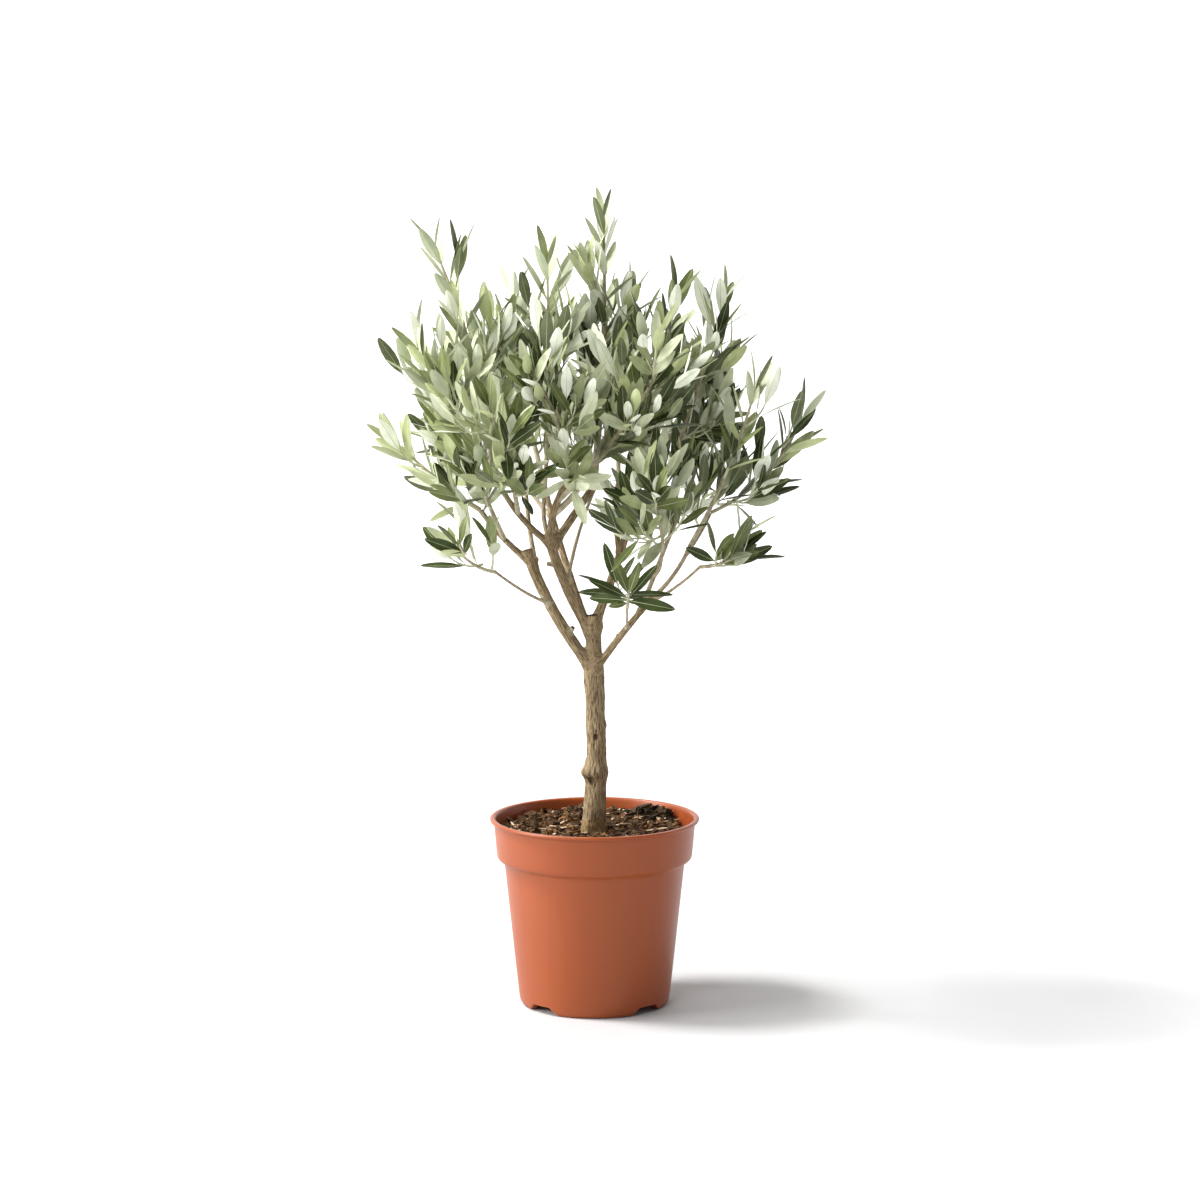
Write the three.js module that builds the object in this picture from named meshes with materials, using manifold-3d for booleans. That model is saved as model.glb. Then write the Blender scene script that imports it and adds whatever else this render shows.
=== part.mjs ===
// A young olive tree in a round plastic nursery pot, in millimetres, +Z up.
// The origin is on the floor under the middle of the pot, and the front of the tree faces -Y.
// The trunk, each bough and each mass of leaves is one closed solid of its own.
import * as THREE from 'three';
import { mergeVertices } from 'three/addons/utils/BufferGeometryUtils.js';
import Module from 'manifold-3d';

const wasm = await Module();
wasm.setup();

// ---------------------------------------------------------------- driving dimensions

const GAP = 0.3; // clear space between pieces that meet
const SLIVER = 0.004; // edges shorter than this are taken off a finished solid

// The pot's profile, as [radius, height].
const POT = {
  sides: 28,
  // underside of the raised base, and the ring that stands on the floor
  foot: [[0, 6.2], [58.5, 6.2], [60.5, 0], [65.2, 0], [67.8, 2.2]],
  body: [[69, 10], [81.2, 122], [82.6, 128]],
  collar: [[87.4, 134.6], [88.6, 136.6], [91.4, 167.5]],
  bead: [[94.4, 168.1], [95, 169.9], [93.6, 171.5], [91.4, 171.5]],
  // inner side, from the rim down to the base
  inner: [[89.4, 168.5], [86.6, 138], [80, 130], [67.2, 12], [65.5, 8.4], [0, 8.4]],
};
// Gaps cut through the foot ring: widths in degrees at the floor and at the top.
const NOTCH = {
  angles: [45, 135, 225, 315],
  bottomWidth: 30.5,
  topWidth: 17,
  bottom: -1,
  top: 7.4,
  inside: 56.5,
  outside: 79,
};

// Compost. Each ring of its lumpy top is lower the further out it lies.
const SOIL = {
  level: 157.4,
  floor: 8.4 + GAP,
  wallHeights: [12, 130, 138, 152.4],
  wallGap: GAP + 0.1,
  seatRadius: 16,
  rings: [64, 38, 16],
  fall: 0.00092, // drop for each square millimetre outside the seat
  lump: 2.6,
};

const TRUNK = {
  sides: 9,
  rings: 19,
  foot: SOIL.level + GAP,
  top: 356.5,
  // centre line, as [height, x, y]
  line: [[157.7, -1.3, 0], [213, 1.6, -1], [256, 1.2, 0], [302, -0.5, 1], [356.5, -1, 2]],
  // plain taper, as [height, radius]
  taper: [[157.7, 10.8], [257, 8.6], [329, 6.8], [356.5, 5.2]],
  // root flare, pruned knot, scar, main fork and upper crotch
  swellings: [
    { height: 157.7, reach: 6, rise: 1.2, side: [0, 0] },
    { height: 213.5, reach: 6.5, rise: 3.4, side: [-0.5, -0.4] },
    { height: 256, reach: 4, rise: 0.7, side: [0.6, -0.4] },
    { height: 303, reach: 20, rise: 2.6, side: [0, 0] },
    { height: 347, reach: 7, rise: 2.6, side: [0, 0] },
  ],
  keepOff: 9, // radius that leaves keep away from
};

// Each limb starts on its parent, at a share of the parent's length, and tapers to its tip.
// The bow is how far its middle stands aside from the straight line.
const LIMB = { sides: 6, step: 32 };
const LIMBS = [
  // name, parent, share, tip, bow, radii at the foot and at the tip
  ['left_bough', 'trunk', 0.77, [-61, -8, 417], [-6, -2, -1], [5.5, 4.9]],
  ['left_outer_arm', 'left_bough', 0.9, [-102, -14, 453], [-1, 0, -3], [3.2, 2.4]],
  ['left_inner_arm', 'left_bough', 0.68, [-62, 20, 471], [-3, 3, 0], [2.6, 2.1]],
  ['left_low_twig', 'left_bough', 0.56, [-88, -28, 399], [0, -3, -2], [1.7, 1.4]],
  ['middle_bough', 'trunk', 0.91, [-41, 4, 426], [-4, 0, 0], [5.2, 4.6]],
  ['left_arm', 'middle_bough', 0.94, [-91, -20, 489], [-3, -4, -5], [3.2, 2.4]],
  ['front_arm', 'middle_bough', 0.93, [-24, -36, 482], [-5, -2, -1], [3.8, 3.2]],
  ['upper_arm', 'middle_bough', 0.97, [-45, 18, 463], [-3, 0, 0], [2.6, 2.1]],
  ['inner_arm', 'middle_bough', 0.9, [-1, 24, 470], [0, 0, 0], [4.2, 3.5]],
  ['slender_arm', 'middle_bough', 0.5, [0, 40, 466], [-3, 2, 0], [2, 1.7]],
  ['back_bough', 'trunk', 0.95, [36, 32, 453], [2, -2, 0], [4.6, 3.3]],
  ['back_right_arm', 'back_bough', 0.8, [70, 24, 493], [3, 0, -3], [2.5, 2]],
  ['rear_arm', 'back_bough', 0.6, [22, 92, 474], [-3, 0, -4], [3, 2.2]],
  ['rear_left_bough', 'trunk', 0.88, [-46, 74, 464], [-2, -4, 0], [4, 2.8]],
  ['rear_low_arm', 'rear_left_bough', 0.8, [-66, 104, 468], [0, 3, -3], [2.4, 1.9]],
  ['right_bough', 'trunk', 0.76, [54, -12, 376], [-2, -2, 0], [3.6, 2.8]],
  ['right_inner_arm', 'right_bough', 0.78, [69, -4, 433], [0, 0, 0], [2.5, 2.1]],
  ['right_outer_arm', 'right_bough', 0.95, [86, -18, 423], [3, 0, -2], [2.3, 2]],
  ['right_low_twig', 'right_bough', 0.9, [94, -30, 404], [0, 0, -3], [1.7, 1.4]],
  ['right_far_arm', 'right_outer_arm', 0.85, [104, -8, 450], [1, 0, -1], [1.8, 1.5]],
  ['front_low_twig', 'right_inner_arm', 0.45, [60, -36, 418], [2, -2, -3], [1.6, 1.3]],
  ['whorl_twig', 'right_bough', 0.58, [29, -30, 368], [0, -2, -1], [1.4, 1.2]],
].map(([name, parent, at, tip, bow, radii]) => (
  { name, parent, at, tip: vector(tip), bow: vector(bow), radii }
));

// Each mass of leaves grows from a limb, at a share of its length, to the tip of its own main
// stem. Shoots is how many side shoots it puts out, spread is the length of the lowest of
// them, and bare is the share of the stem that carries none.
const MASSES = [
  // name, limb, share, tip, bow, shoots, spread, bare
  ['far_left_leaves', 'left_outer_arm', 1, [-172, -24, 510], [4, 0, -6], 4, 42, 0],
  ['low_left_leaves', 'left_low_twig', 1, [-122, -60, 425], [-2, 0, -4], 4, 40, 0],
  ['left_leaves', 'left_arm', 0.8, [-150, -58, 592], [-6, -4, 6], 6, 50, 0.03],
  ['left_inner_leaves', 'left_outer_arm', 0.5, [-108, -74, 510], [0, 0, -4], 4, 50, 0.35],
  ['tall_left_leaves', 'left_arm', 1, [-142, 6, 684], [9, 0, 0], 6, 42, 0.1],
  ['upper_left_leaves', 'left_inner_arm', 1, [-80, 40, 614], [-8, 4, 0], 6, 54, 0.05],
  ['upper_leaves', 'upper_arm', 1, [-42, -8, 670], [2, 4, 0], 7, 54, 0],
  ['top_leaves', 'inner_arm', 1, [8, 6, 711], [4, 4, 0], 6, 46, 0.08],
  ['front_left_leaves', 'left_arm', 0.5, [-90, -136, 556], [4, -8, -4], 5, 60, 0.15],
  ['front_leaves', 'front_arm', 1, [-50, -150, 582], [8, -10, 0], 6, 60, 0.04],
  ['front_right_leaves', 'front_arm', 0.72, [64, -128, 608], [10, -2, -2], 5, 60, 0.28],
  ['centre_leaves', 'front_arm', 0.5, [16, -66, 544], [4, 4, -10], 5, 54, 0.35],
  ['inner_leaves', 'slender_arm', 1, [12, 70, 628], [0, 8, 0], 5, 46, 0.05],
  ['upper_right_leaves', 'back_bough', 1, [72, -8, 640], [-4, 4, 0], 6, 54, 0.05],
  ['tall_right_leaves', 'back_right_arm', 1, [116, 6, 640], [2, 0, 0], 5, 42, 0.05],
  ['rear_leaves', 'rear_arm', 1, [20, 130, 588], [0, 12, -4], 5, 60, 0.1],
  ['rear_right_leaves', 'rear_arm', 0.8, [96, 112, 548], [0, 12, -8], 5, 60, 0.25],
  ['rear_left_leaves', 'rear_left_bough', 1, [-84, 104, 590], [2, 10, 0], 5, 60, 0.15],
  ['rear_low_leaves', 'rear_low_arm', 1, [-130, 108, 510], [0, 8, -4], 5, 56, 0.1],
  ['right_inner_leaves', 'right_inner_arm', 1, [110, 54, 556], [4, 8, -4], 5, 58, 0.03],
  ['right_leaves', 'right_outer_arm', 1, [141, -44, 562], [4, -6, -2], 5, 40, 0.03],
  ['far_right_leaves', 'right_far_arm', 1, [184, -4, 532], [8, 0, -8], 4, 36, 0.05],
  ['low_right_leaves', 'right_low_twig', 1, [120, -62, 415], [0, 0, -2], 4, 38, 0],
  ['front_low_leaves', 'front_low_twig', 1, [48, -116, 482], [4, -4, -6], 6, 52, 0],
  ['whorl_leaves', 'whorl_twig', 1, [30, -84, 388], [0, -2, -5], 1, 30, 0],
].map(([name, limb, at, tip, bow, shoots, spread, bare]) => (
  { name, limb, at, tip: vector(tip), bow: vector(bow), shoots, spread, bare }
));
// The short twig low on the right ends in a close wheel of leaves.
const WHEEL = { name: 'whorl_leaves', pitch: 12, lean: 68 };

const GOLDEN_ANGLE = THREE.MathUtils.degToRad(137.5);
const STEM = { sides: 3, step: 50, tipRadius: 1.4, radiusShare: 1.1, leastRadius: 2 };
const SHOOT = {
  angle: 50, // between the shoot and its stem
  lift: 0.42, // how much it bends upward
  follow: 0.25, // and along its stem
  bare: 0.12,
  highest: 0.86, // share of the stem above which none stands
  longest: 1.05, // length of a shoot at the stem's foot, as a share of the spread
  shorten: 0.5, // how much of that is gone at the stem's tip
  vary: 0.15,
  rootRadius: 1.15,
  tipRadius: 0.95,
  step: 42,
  tries: 6,
  tryShorter: 0.08,
  places: [0.2, 0.45, 0.7, 1], // shares of its length that are tested
};
const LEAF = {
  length: 48,
  width: 14,
  thickness: 1.2,
  widest: 0.46, // share of its length where it is widest
  thickest: 0.24,
  pitch: 31, // distance between two pairs along a twig
  rootLean: 48, // degrees between a leaf and its twig, at the foot of the twig
  tipLean: 20, // and at its end
  leanVary: 16,
  lift: 0.2, // how much every leaf turns upward
  sunk: 0.3, // how far the leaf's root passes the middle of the twig
  apart: 7.5, // least distance between the midribs of two leaves, and from a leaf to a twig
  turn: Math.PI / 3, // from one pair to the next round the twig
  turnVary: 0.3,
  below: 1, // how far below a twig's end its last pair stands
  endSize: 0.84, // size of that last pair
  sizeVary: 0.14,
  tryShorter: 0.12,
  bare: 0.25, // share of its length, from its foot, where others may come near
  twigPlaces: [0.4, 0.7, 1], // shares of its length that are tested against twigs
  leafPlaces: [0.3, 0.5, 0.75, 1], // and against other leaves
  // places tested against the edge of the mass's own space, as shares of length and width
  edgePlaces: [
    [0.2, 0.2], [0.2, -0.2], [0.35, 0], [0.45, 0.5], [0.45, -0.5],
    [0.7, 0], [0.72, 0.28], [0.72, -0.28], [1, 0],
  ],
};
const CLEAR = 1.6; // between a leaf or twig and the edge of its mass's own space

// What each seeded number is drawn for.
const SEED = {
  shootLength: 1,
  shootAngle: 2,
  leafTurn: 3,
  leafTwist: 4,
  leafLean: 5,
  leafSize: 6,
  soil: 7,
};

const UP = new THREE.Vector3(0, 0, 1);

// ---------------------------------------------------------------- seeded numbers

// A number from 0 to 1 that depends only on the whole numbers given.
function chance(...keys) {
  let mixed = 2166136261;
  for (const key of keys) {
    mixed = Math.imul(mixed ^ (key + 1), 16777619);
    mixed ^= mixed >>> 15;
  }
  mixed = Math.imul(mixed ^ (mixed >>> 13), 1540483477);
  mixed ^= mixed >>> 15;
  return (mixed >>> 0) / 4294967296;
}

// A factor near 1, at most the given share away from it.
function varied(share, luck) {
  return 1 + share * (2 * luck - 1);
}

// ---------------------------------------------------------------- solids

function vector(list) {
  return new THREE.Vector3(...list);
}

function geometryOf(positions, triangles) {
  const geometry = new THREE.BufferGeometry();
  geometry.setAttribute('position', new THREE.Float32BufferAttribute(positions, 3));
  geometry.setIndex(triangles);
  return geometry;
}

function solidOf(geometry) {
  const bare = new THREE.BufferGeometry();
  bare.setAttribute('position', geometry.getAttribute('position'));
  bare.setIndex(geometry.getIndex());
  const merged = mergeVertices(bare, 1e-4);
  return new wasm.Manifold(new wasm.Mesh({
    numProp: 3,
    vertProperties: new Float32Array(merged.getAttribute('position').array),
    triVerts: new Uint32Array(merged.getIndex().array),
  }));
}

// The largest single body of a solid, with slivers taken off it.
function mainBody(solid) {
  const clean = solid.simplify(SLIVER);
  const bodies = clean.decompose();
  return bodies.reduce((best, body) => (body.volume() > best.volume() ? body : best));
}

function geometryFromSolid(solid) {
  const mesh = solid.getMesh();
  return geometryOf(Array.from(mesh.vertProperties), Array.from(mesh.triVerts));
}

// Rings of points joined into a closed skin, with flat ends.
function skin(rings) {
  const sides = rings[0].length;
  const positions = rings.flat().flatMap((point) => [point.x, point.y, point.z]);
  const triangles = [];
  for (let ring = 0; ring + 1 < rings.length; ring += 1) {
    for (let side = 0; side < sides; side += 1) {
      const next = (side + 1) % sides;
      const low = ring * sides;
      const high = low + sides;
      triangles.push(low + side, low + next, high + next);
      triangles.push(low + side, high + next, high + side);
    }
  }
  const last = (rings.length - 1) * sides;
  for (let side = 1; side + 1 < sides; side += 1) {
    triangles.push(0, side + 1, side);
    triangles.push(last, last + side, last + side + 1);
  }
  return geometryOf(positions, triangles);
}

// Two directions square to a given one.
function across(direction) {
  const helper = Math.abs(direction.y) < 0.8 ? new THREE.Vector3(0, 1, 0) : new THREE.Vector3(1, 0, 0);
  const side = new THREE.Vector3().crossVectors(direction, helper).normalize();
  const top = new THREE.Vector3().crossVectors(side, direction);
  return { side, top };
}

// The points of a curve, about one step apart. A stick is straight between them, so what
// grows on it is placed on these lines and not on the curve.
function pathOf(curve, step) {
  return curve.getPoints(Math.max(1, Math.round(curve.getLength() / step)));
}

function lengthOf(path) {
  return path.slice(1).reduce((sum, point, row) => sum + point.distanceTo(path[row]), 0);
}

function placeOn(path, share) {
  const reach = share * (path.length - 1);
  const row = Math.min(path.length - 2, Math.floor(reach));
  const point = path[row].clone().lerp(path[row + 1], reach - row);
  const along = path[row + 1].clone().sub(path[row]).normalize();
  return { point, along };
}

// A tapered stick along a path. Extra makes it thicker and longer by that much.
function stick(path, radii, sides, extra = 0) {
  const last = path.length - 1;
  const { side } = across(placeOn(path, 0).along);
  const rings = path.map((point, row) => {
    const before = path[Math.max(0, row - 1)];
    const after = path[Math.min(last, row + 1)];
    const direction = after.clone().sub(before).normalize();
    side.addScaledVector(direction, -side.dot(direction)).normalize();
    const top = new THREE.Vector3().crossVectors(side, direction);
    const lengthen = (row === last) - (row === 0);
    const centre = point.clone().addScaledVector(direction, lengthen * extra);
    return ringOf(centre, side, top, THREE.MathUtils.lerp(radii[0], radii[1], row / last) + extra, sides);
  });
  return skin(rings);
}

function ringOf(centre, side, top, radius, sides) {
  const ring = [];
  for (let corner = 0; corner < sides; corner += 1) {
    const angle = -2 * Math.PI * corner / sides;
    ring.push(centre.clone()
      .addScaledVector(side, radius * Math.cos(angle))
      .addScaledVector(top, radius * Math.sin(angle)));
  }
  return ring;
}

function bowedCurve(root, tip, bow) {
  const middle = root.clone().add(tip).multiplyScalar(0.5).addScaledVector(bow, 2);
  return new THREE.QuadraticBezierCurve3(root, middle, tip);
}

// ---------------------------------------------------------------- pot and soil

// The radius of the pot's inner side at a height.
function innerRadius(height) {
  const upper = POT.inner.findIndex((place) => place[1] <= height) - 1;
  const [[highRadius, high], [lowRadius, low]] = POT.inner.slice(upper, upper + 2);
  return THREE.MathUtils.mapLinear(height, low, high, lowRadius, highRadius);
}

function potSolid() {
  const profile = [...POT.foot, ...POT.body, ...POT.collar, ...POT.bead, ...POT.inner];
  const points = profile.map(([radius, height]) => new THREE.Vector2(radius, height));
  const shell = solidOf(new THREE.LatheGeometry(points, POT.sides).rotateX(Math.PI / 2));
  return NOTCH.angles.reduce((pot, angle) => pot.subtract(notchSolid(angle)), shell);
}

// A wedge that opens outward and cuts one gap in the foot ring.
function notchSolid(angle) {
  const ends = [[NOTCH.bottom, NOTCH.bottomWidth], [NOTCH.top, NOTCH.topWidth]];
  const rings = ends.map(([height, width]) => {
    const corner = (radius, share) => {
      const turn = THREE.MathUtils.degToRad(angle + share * width / 2);
      return new THREE.Vector3(radius * Math.cos(turn), radius * Math.sin(turn), height);
    };
    const outer = [-1, 0, 1].map((share) => corner(NOTCH.outside, share));
    return [corner(NOTCH.inside, -1), ...outer, corner(NOTCH.inside, 1)];
  });
  return solidOf(skin(rings));
}

// It fills the pot up to a lumpy top that is flat only where the trunk stands.
function soilGeometry() {
  const walls = [SOIL.floor, ...SOIL.wallHeights].map((height) => (
    soilRing(innerRadius(height) - SOIL.wallGap, () => height)));
  const top = SOIL.rings.map((radius) => (
    soilRing(radius, (corner) => soilHeight(radius, corner))));
  return skin([...walls, ...top]);
}

function soilRing(radius, heightAt) {
  const ring = [];
  for (let corner = 0; corner < POT.sides; corner += 1) {
    const angle = 2 * Math.PI * corner / POT.sides;
    ring.push(new THREE.Vector3(radius * Math.sin(angle), -radius * Math.cos(angle), heightAt(corner)));
  }
  return ring;
}

function soilHeight(radius, corner) {
  if (radius <= SOIL.seatRadius) return SOIL.level;
  const bump = chance(SEED.soil, radius, corner) - 0.6;
  return SOIL.level - SOIL.fall * (radius - SOIL.seatRadius) ** 2 + SOIL.lump * bump;
}

// ---------------------------------------------------------------- trunk and boughs

// The value at a height in a table of [height, value].
function alongTable(table, height) {
  const upper = Math.max(1, table.findIndex((entry) => entry[0] >= height));
  const [[low, lowValue], [high, highValue]] = table.slice(upper - 1, upper + 1);
  return THREE.MathUtils.mapLinear(height, low, high, lowValue, highValue);
}

const trunkLine = new THREE.CatmullRomCurve3(
  TRUNK.line.map(([height, x, y]) => new THREE.Vector3(x, y, height)),
);

function trunkRing(height, extra) {
  const share = (height - TRUNK.foot) / (TRUNK.top - TRUNK.foot);
  const centre = trunkLine.getPointAt(THREE.MathUtils.clamp(share, 0, 1));
  const ring = [];
  for (let corner = 0; corner < TRUNK.sides; corner += 1) {
    const angle = 2 * Math.PI * corner / TRUNK.sides;
    const [x, y] = [Math.cos(angle), Math.sin(angle)];
    let radius = alongTable(TRUNK.taper, THREE.MathUtils.clamp(height, TRUNK.foot, TRUNK.top)) + extra;
    for (const { height: at, reach, rise, side } of TRUNK.swellings) {
      radius += rise * Math.exp(-(((height - at) / reach) ** 2)) * (1 + side[0] * x + side[1] * y);
    }
    ring.push(new THREE.Vector3(centre.x + radius * x, centre.y + radius * y, height));
  }
  return ring;
}

function trunkSolid(extra = 0) {
  const rings = [];
  for (let row = 0; row <= TRUNK.rings; row += 1) {
    const low = TRUNK.foot - extra;
    const high = TRUNK.top + extra;
    rings.push(trunkRing(low + (high - low) * row / TRUNK.rings, extra));
  }
  return solidOf(skin(rings));
}

// Every limb's curve, found from its parent's.
function limbCurves() {
  const curves = { trunk: trunkLine };
  for (const limb of LIMBS) {
    const root = curves[limb.parent].getPoint(limb.at);
    curves[limb.name] = bowedCurve(root, limb.tip, limb.bow);
  }
  return curves;
}

const curves = limbCurves();

function limbSolid(limb, extra = 0) {
  return solidOf(stick(pathOf(curves[limb.name], LIMB.step), limb.radii, LIMB.sides, extra));
}

// ---------------------------------------------------------------- masses of leaves

const stems = MASSES.map((mass) => {
  const root = curves[mass.limb].getPoint(mass.at);
  return pathOf(bowedCurve(root, mass.tip, mass.bow), STEM.step);
});

// The straight lines of a path, used to measure distances to it.
function linesOf(path) {
  return path.slice(1).map((point, row) => new THREE.Line3(path[row], point));
}

const stemLines = stems.map(linesOf);
const limbLines = [{ name: 'trunk', radii: [TRUNK.keepOff] }, ...LIMBS].map(({ name, radii }) => ({
  lines: linesOf(pathOf(curves[name], LIMB.step)),
  radius: Math.max(...radii),
}));

function distanceTo(lines, point) {
  const nearest = new THREE.Vector3();
  let best = Infinity;
  for (const line of lines) {
    line.closestPointToPoint(point, true, nearest);
    best = Math.min(best, nearest.distanceToSquared(point));
  }
  return Math.sqrt(best);
}

// A point is in a mass's own space when that mass's stem is nearer than any other stem,
// and no limb is in reach.
function isFree(number, point) {
  const own = distanceTo(stemLines[number], point) + CLEAR;
  for (let other = 0; other < stems.length; other += 1) {
    if (other !== number && distanceTo(stemLines[other], point) < own) return false;
  }
  return limbLines.every(({ lines, radius }) => distanceTo(lines, point) > radius + CLEAR);
}

// The side shoots of a mass. Each stands off the stem by the golden angle and bends upward.
function growShoots(mass, number) {
  const stem = stems[number];
  const shoots = [];
  for (let turn = 0; turn < mass.shoots; turn += 1) {
    const share = THREE.MathUtils.lerp(mass.bare, SHOOT.highest, (turn + 0.5) / mass.shoots);
    const length = mass.spread * (SHOOT.longest - SHOOT.shorten * share)
      * varied(SHOOT.vary, chance(number, turn, SEED.shootLength));
    const start = 2 * Math.PI * chance(number, SEED.shootAngle);
    for (let attempt = 0; attempt < SHOOT.tries; attempt += 1) {
      const angle = start + GOLDEN_ANGLE * turn + attempt;
      const shoot = shootPath(stem, share, angle, length * (1 - SHOOT.tryShorter * attempt));
      if (shootIsFree(number, shoot)) {
        shoots.push(shoot);
        break;
      }
    }
  }
  return shoots;
}

function shootPath(stem, share, angle, length) {
  const { point: root, along } = placeOn(stem, share);
  const { side, top } = across(along);
  const lean = THREE.MathUtils.degToRad(SHOOT.angle);
  const start = along.clone().multiplyScalar(Math.cos(lean))
    .addScaledVector(side, Math.sin(lean) * Math.cos(angle))
    .addScaledVector(top, Math.sin(lean) * Math.sin(angle));
  const end = start.clone()
    .addScaledVector(UP, SHOOT.lift)
    .addScaledVector(along, SHOOT.follow)
    .normalize();
  const tip = root.clone().addScaledVector(end, length);
  const middle = root.clone().addScaledVector(start, length / 2);
  return pathOf(new THREE.QuadraticBezierCurve3(root, middle, tip), SHOOT.step);
}

function shootIsFree(number, shoot) {
  return SHOOT.places.every((share) => isFree(number, placeOn(shoot, share).point));
}

// Pairs of leaves along one twig of a mass, each pair turned from the one before it, and one
// pair at the twig's end. A leaf that finds no room is tried one turn to either side.
function growLeaves(number, twigs, twigNumber, bare, others) {
  const leaves = [];
  const twig = twigs[twigNumber];
  const otherLines = twigs.filter((path) => path !== twig).flatMap(linesOf);
  const length = lengthOf(twig);
  const inWheel = MASSES[number].name === WHEEL.name;
  const pitch = inWheel ? WHEEL.pitch : LEAF.pitch;
  const rootLean = inWheel ? WHEEL.lean : LEAF.rootLean;
  const pairs = Math.floor((length * (1 - bare) - LEAF.below) / pitch);
  for (let pair = 0; pair <= pairs; pair += 1) {
    const { point: root, along } = placeOn(twig, 1 - (LEAF.below + pair * pitch) / length);
    const turns = Math.floor(3 * chance(number, twigNumber, SEED.leafTurn)) + pair + 0.5;
    const twist = LEAF.turnVary * (chance(number, twigNumber, pair, SEED.leafTwist) - 0.5);
    for (const half of [0, 1]) {
      const lean = leafLean(pair, rootLean, chance(number, twigNumber, pair, half, SEED.leafLean));
      const size = LEAF.length * (pair === 0 ? LEAF.endSize : 1)
        * varied(LEAF.sizeVary, chance(number, twigNumber, pair, half, SEED.leafSize));
      for (const aside of [0, 1, -1]) {
        const angle = LEAF.turn * (turns + aside) + twist + Math.PI * half;
        const leaf = leafAt(root, along, angle, lean, size * (1 - LEAF.tryShorter * Math.abs(aside)));
        const crosses = [...others, ...leaves].some((other) => leavesCross(leaf, other));
        if (!crosses && leafIsFree(number, leaf, otherLines)) {
          leaves.push(leaf);
          break;
        }
      }
    }
  }
  return leaves;
}

// The two pairs nearest a twig's end stand closer to it than the others.
function leafLean(pair, rootLean, luck) {
  const angle = THREE.MathUtils.lerp(LEAF.tipLean, rootLean, Math.min(1, pair / 2));
  return THREE.MathUtils.degToRad(angle + LEAF.leanVary * (luck - 0.5));
}

function leafAt(root, along, angle, lean, length) {
  const { side: sideways, top } = across(along);
  const out = sideways.multiplyScalar(Math.cos(angle)).addScaledVector(top, Math.sin(angle));
  const direction = along.clone().multiplyScalar(Math.cos(lean)).addScaledVector(out, Math.sin(lean));
  direction.addScaledVector(UP, LEAF.lift).normalize();
  const side = new THREE.Vector3().crossVectors(direction, along).normalize();
  const face = new THREE.Vector3().crossVectors(side, direction);
  const tip = root.clone().addScaledVector(direction, length);
  const midrib = new THREE.Line3(root, tip);
  const outer = new THREE.Line3(midrib.at(LEAF.bare, new THREE.Vector3()), tip);
  const width = LEAF.width * length / LEAF.length;
  return { root, direction, side, face, length, width, midrib, outer };
}

// The leaf's tip, its middle and both edges stay in the mass's own space, and its midrib
// stays clear of the mass's other twigs.
function leafIsFree(number, leaf, otherLines) {
  const aside = (share, off) => leaf.midrib.at(share, new THREE.Vector3())
    .addScaledVector(leaf.side, off * leaf.width);
  const nearTwig = (share) => distanceTo(otherLines, aside(share, 0)) < LEAF.apart;
  return !LEAF.twigPlaces.some(nearTwig)
    && LEAF.edgePlaces.every(([share, off]) => isFree(number, aside(share, off)));
}

// Whether two leaves come so near each other, away from their feet, that they may cross.
function leavesCross(leaf, other) {
  const nearest = new THREE.Vector3();
  return LEAF.leafPlaces.some((share) => {
    const point = leaf.midrib.at(share, new THREE.Vector3());
    other.outer.closestPointToPoint(point, true, nearest);
    return nearest.distanceTo(point) < LEAF.apart;
  });
}

// A thin leaf with eight faces: a point at each end, two edges and two sides.
function leafGeometry(leaf) {
  const place = (onward, aside, off) => leaf.root.clone()
    .addScaledVector(leaf.direction, onward)
    .addScaledVector(leaf.side, aside)
    .addScaledVector(leaf.face, off);
  const wide = LEAF.widest * leaf.length;
  const thick = LEAF.thickest * leaf.length;
  const points = [
    place(-LEAF.sunk, 0, 0),
    place(leaf.length, 0, 0),
    place(wide, leaf.width / 2, 0),
    place(thick, 0, LEAF.thickness / 2),
    place(wide, -leaf.width / 2, 0),
    place(thick, 0, -LEAF.thickness / 2),
  ];
  const triangles = [];
  for (let corner = 0; corner < 4; corner += 1) {
    const here = 2 + corner;
    const next = 2 + (corner + 1) % 4;
    triangles.push(0, here, next);
    triangles.push(1, next, here);
  }
  return geometryOf(points.flatMap((point) => [point.x, point.y, point.z]), triangles);
}

function massSolid(mass, number, cutter) {
  const limb = LIMBS.find(({ name }) => name === mass.limb);
  const twigs = [stems[number], ...growShoots(mass, number)];
  const radii = twigs.map((path, row) => (
    row === 0 ? [Math.max(STEM.leastRadius, limb.radii[1] * STEM.radiusShare), STEM.tipRadius]
      : [SHOOT.rootRadius, SHOOT.tipRadius]));
  const leaves = [];
  twigs.forEach((path, row) => {
    leaves.push(...growLeaves(number, twigs, row, row === 0 ? mass.bare : SHOOT.bare, leaves));
  });
  const sticks = twigs.map((path, row) => stick(path, radii[row], STEM.sides));
  const pieces = [...sticks, ...leaves.map(leafGeometry)].map(solidOf);
  return mainBody(wasm.Manifold.union(pieces).subtract(cutter));
}

// ---------------------------------------------------------------- the whole plant

const MATERIALS = {
  pot: { color: 0xc8694a, roughness: 0.45, metalness: 0 },
  soil: { color: 0x4a3527, roughness: 0.95, metalness: 0 },
  bark: { color: 0x8c7b62, roughness: 0.85, metalness: 0 },
  leaf: { color: 0x6f8560, roughness: 0.6, metalness: 0 },
};

const group = new THREE.Group();

function addPiece(name, geometry, material) {
  const mesh = new THREE.Mesh(geometry, new THREE.MeshStandardMaterial(MATERIALS[material]));
  mesh.name = name;
  group.add(mesh);
}

addPiece('pot', geometryFromSolid(mainBody(potSolid())), 'pot');
addPiece('soil', soilGeometry(), 'soil');
addPiece('trunk', geometryFromSolid(mainBody(trunkSolid())), 'bark');

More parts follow.
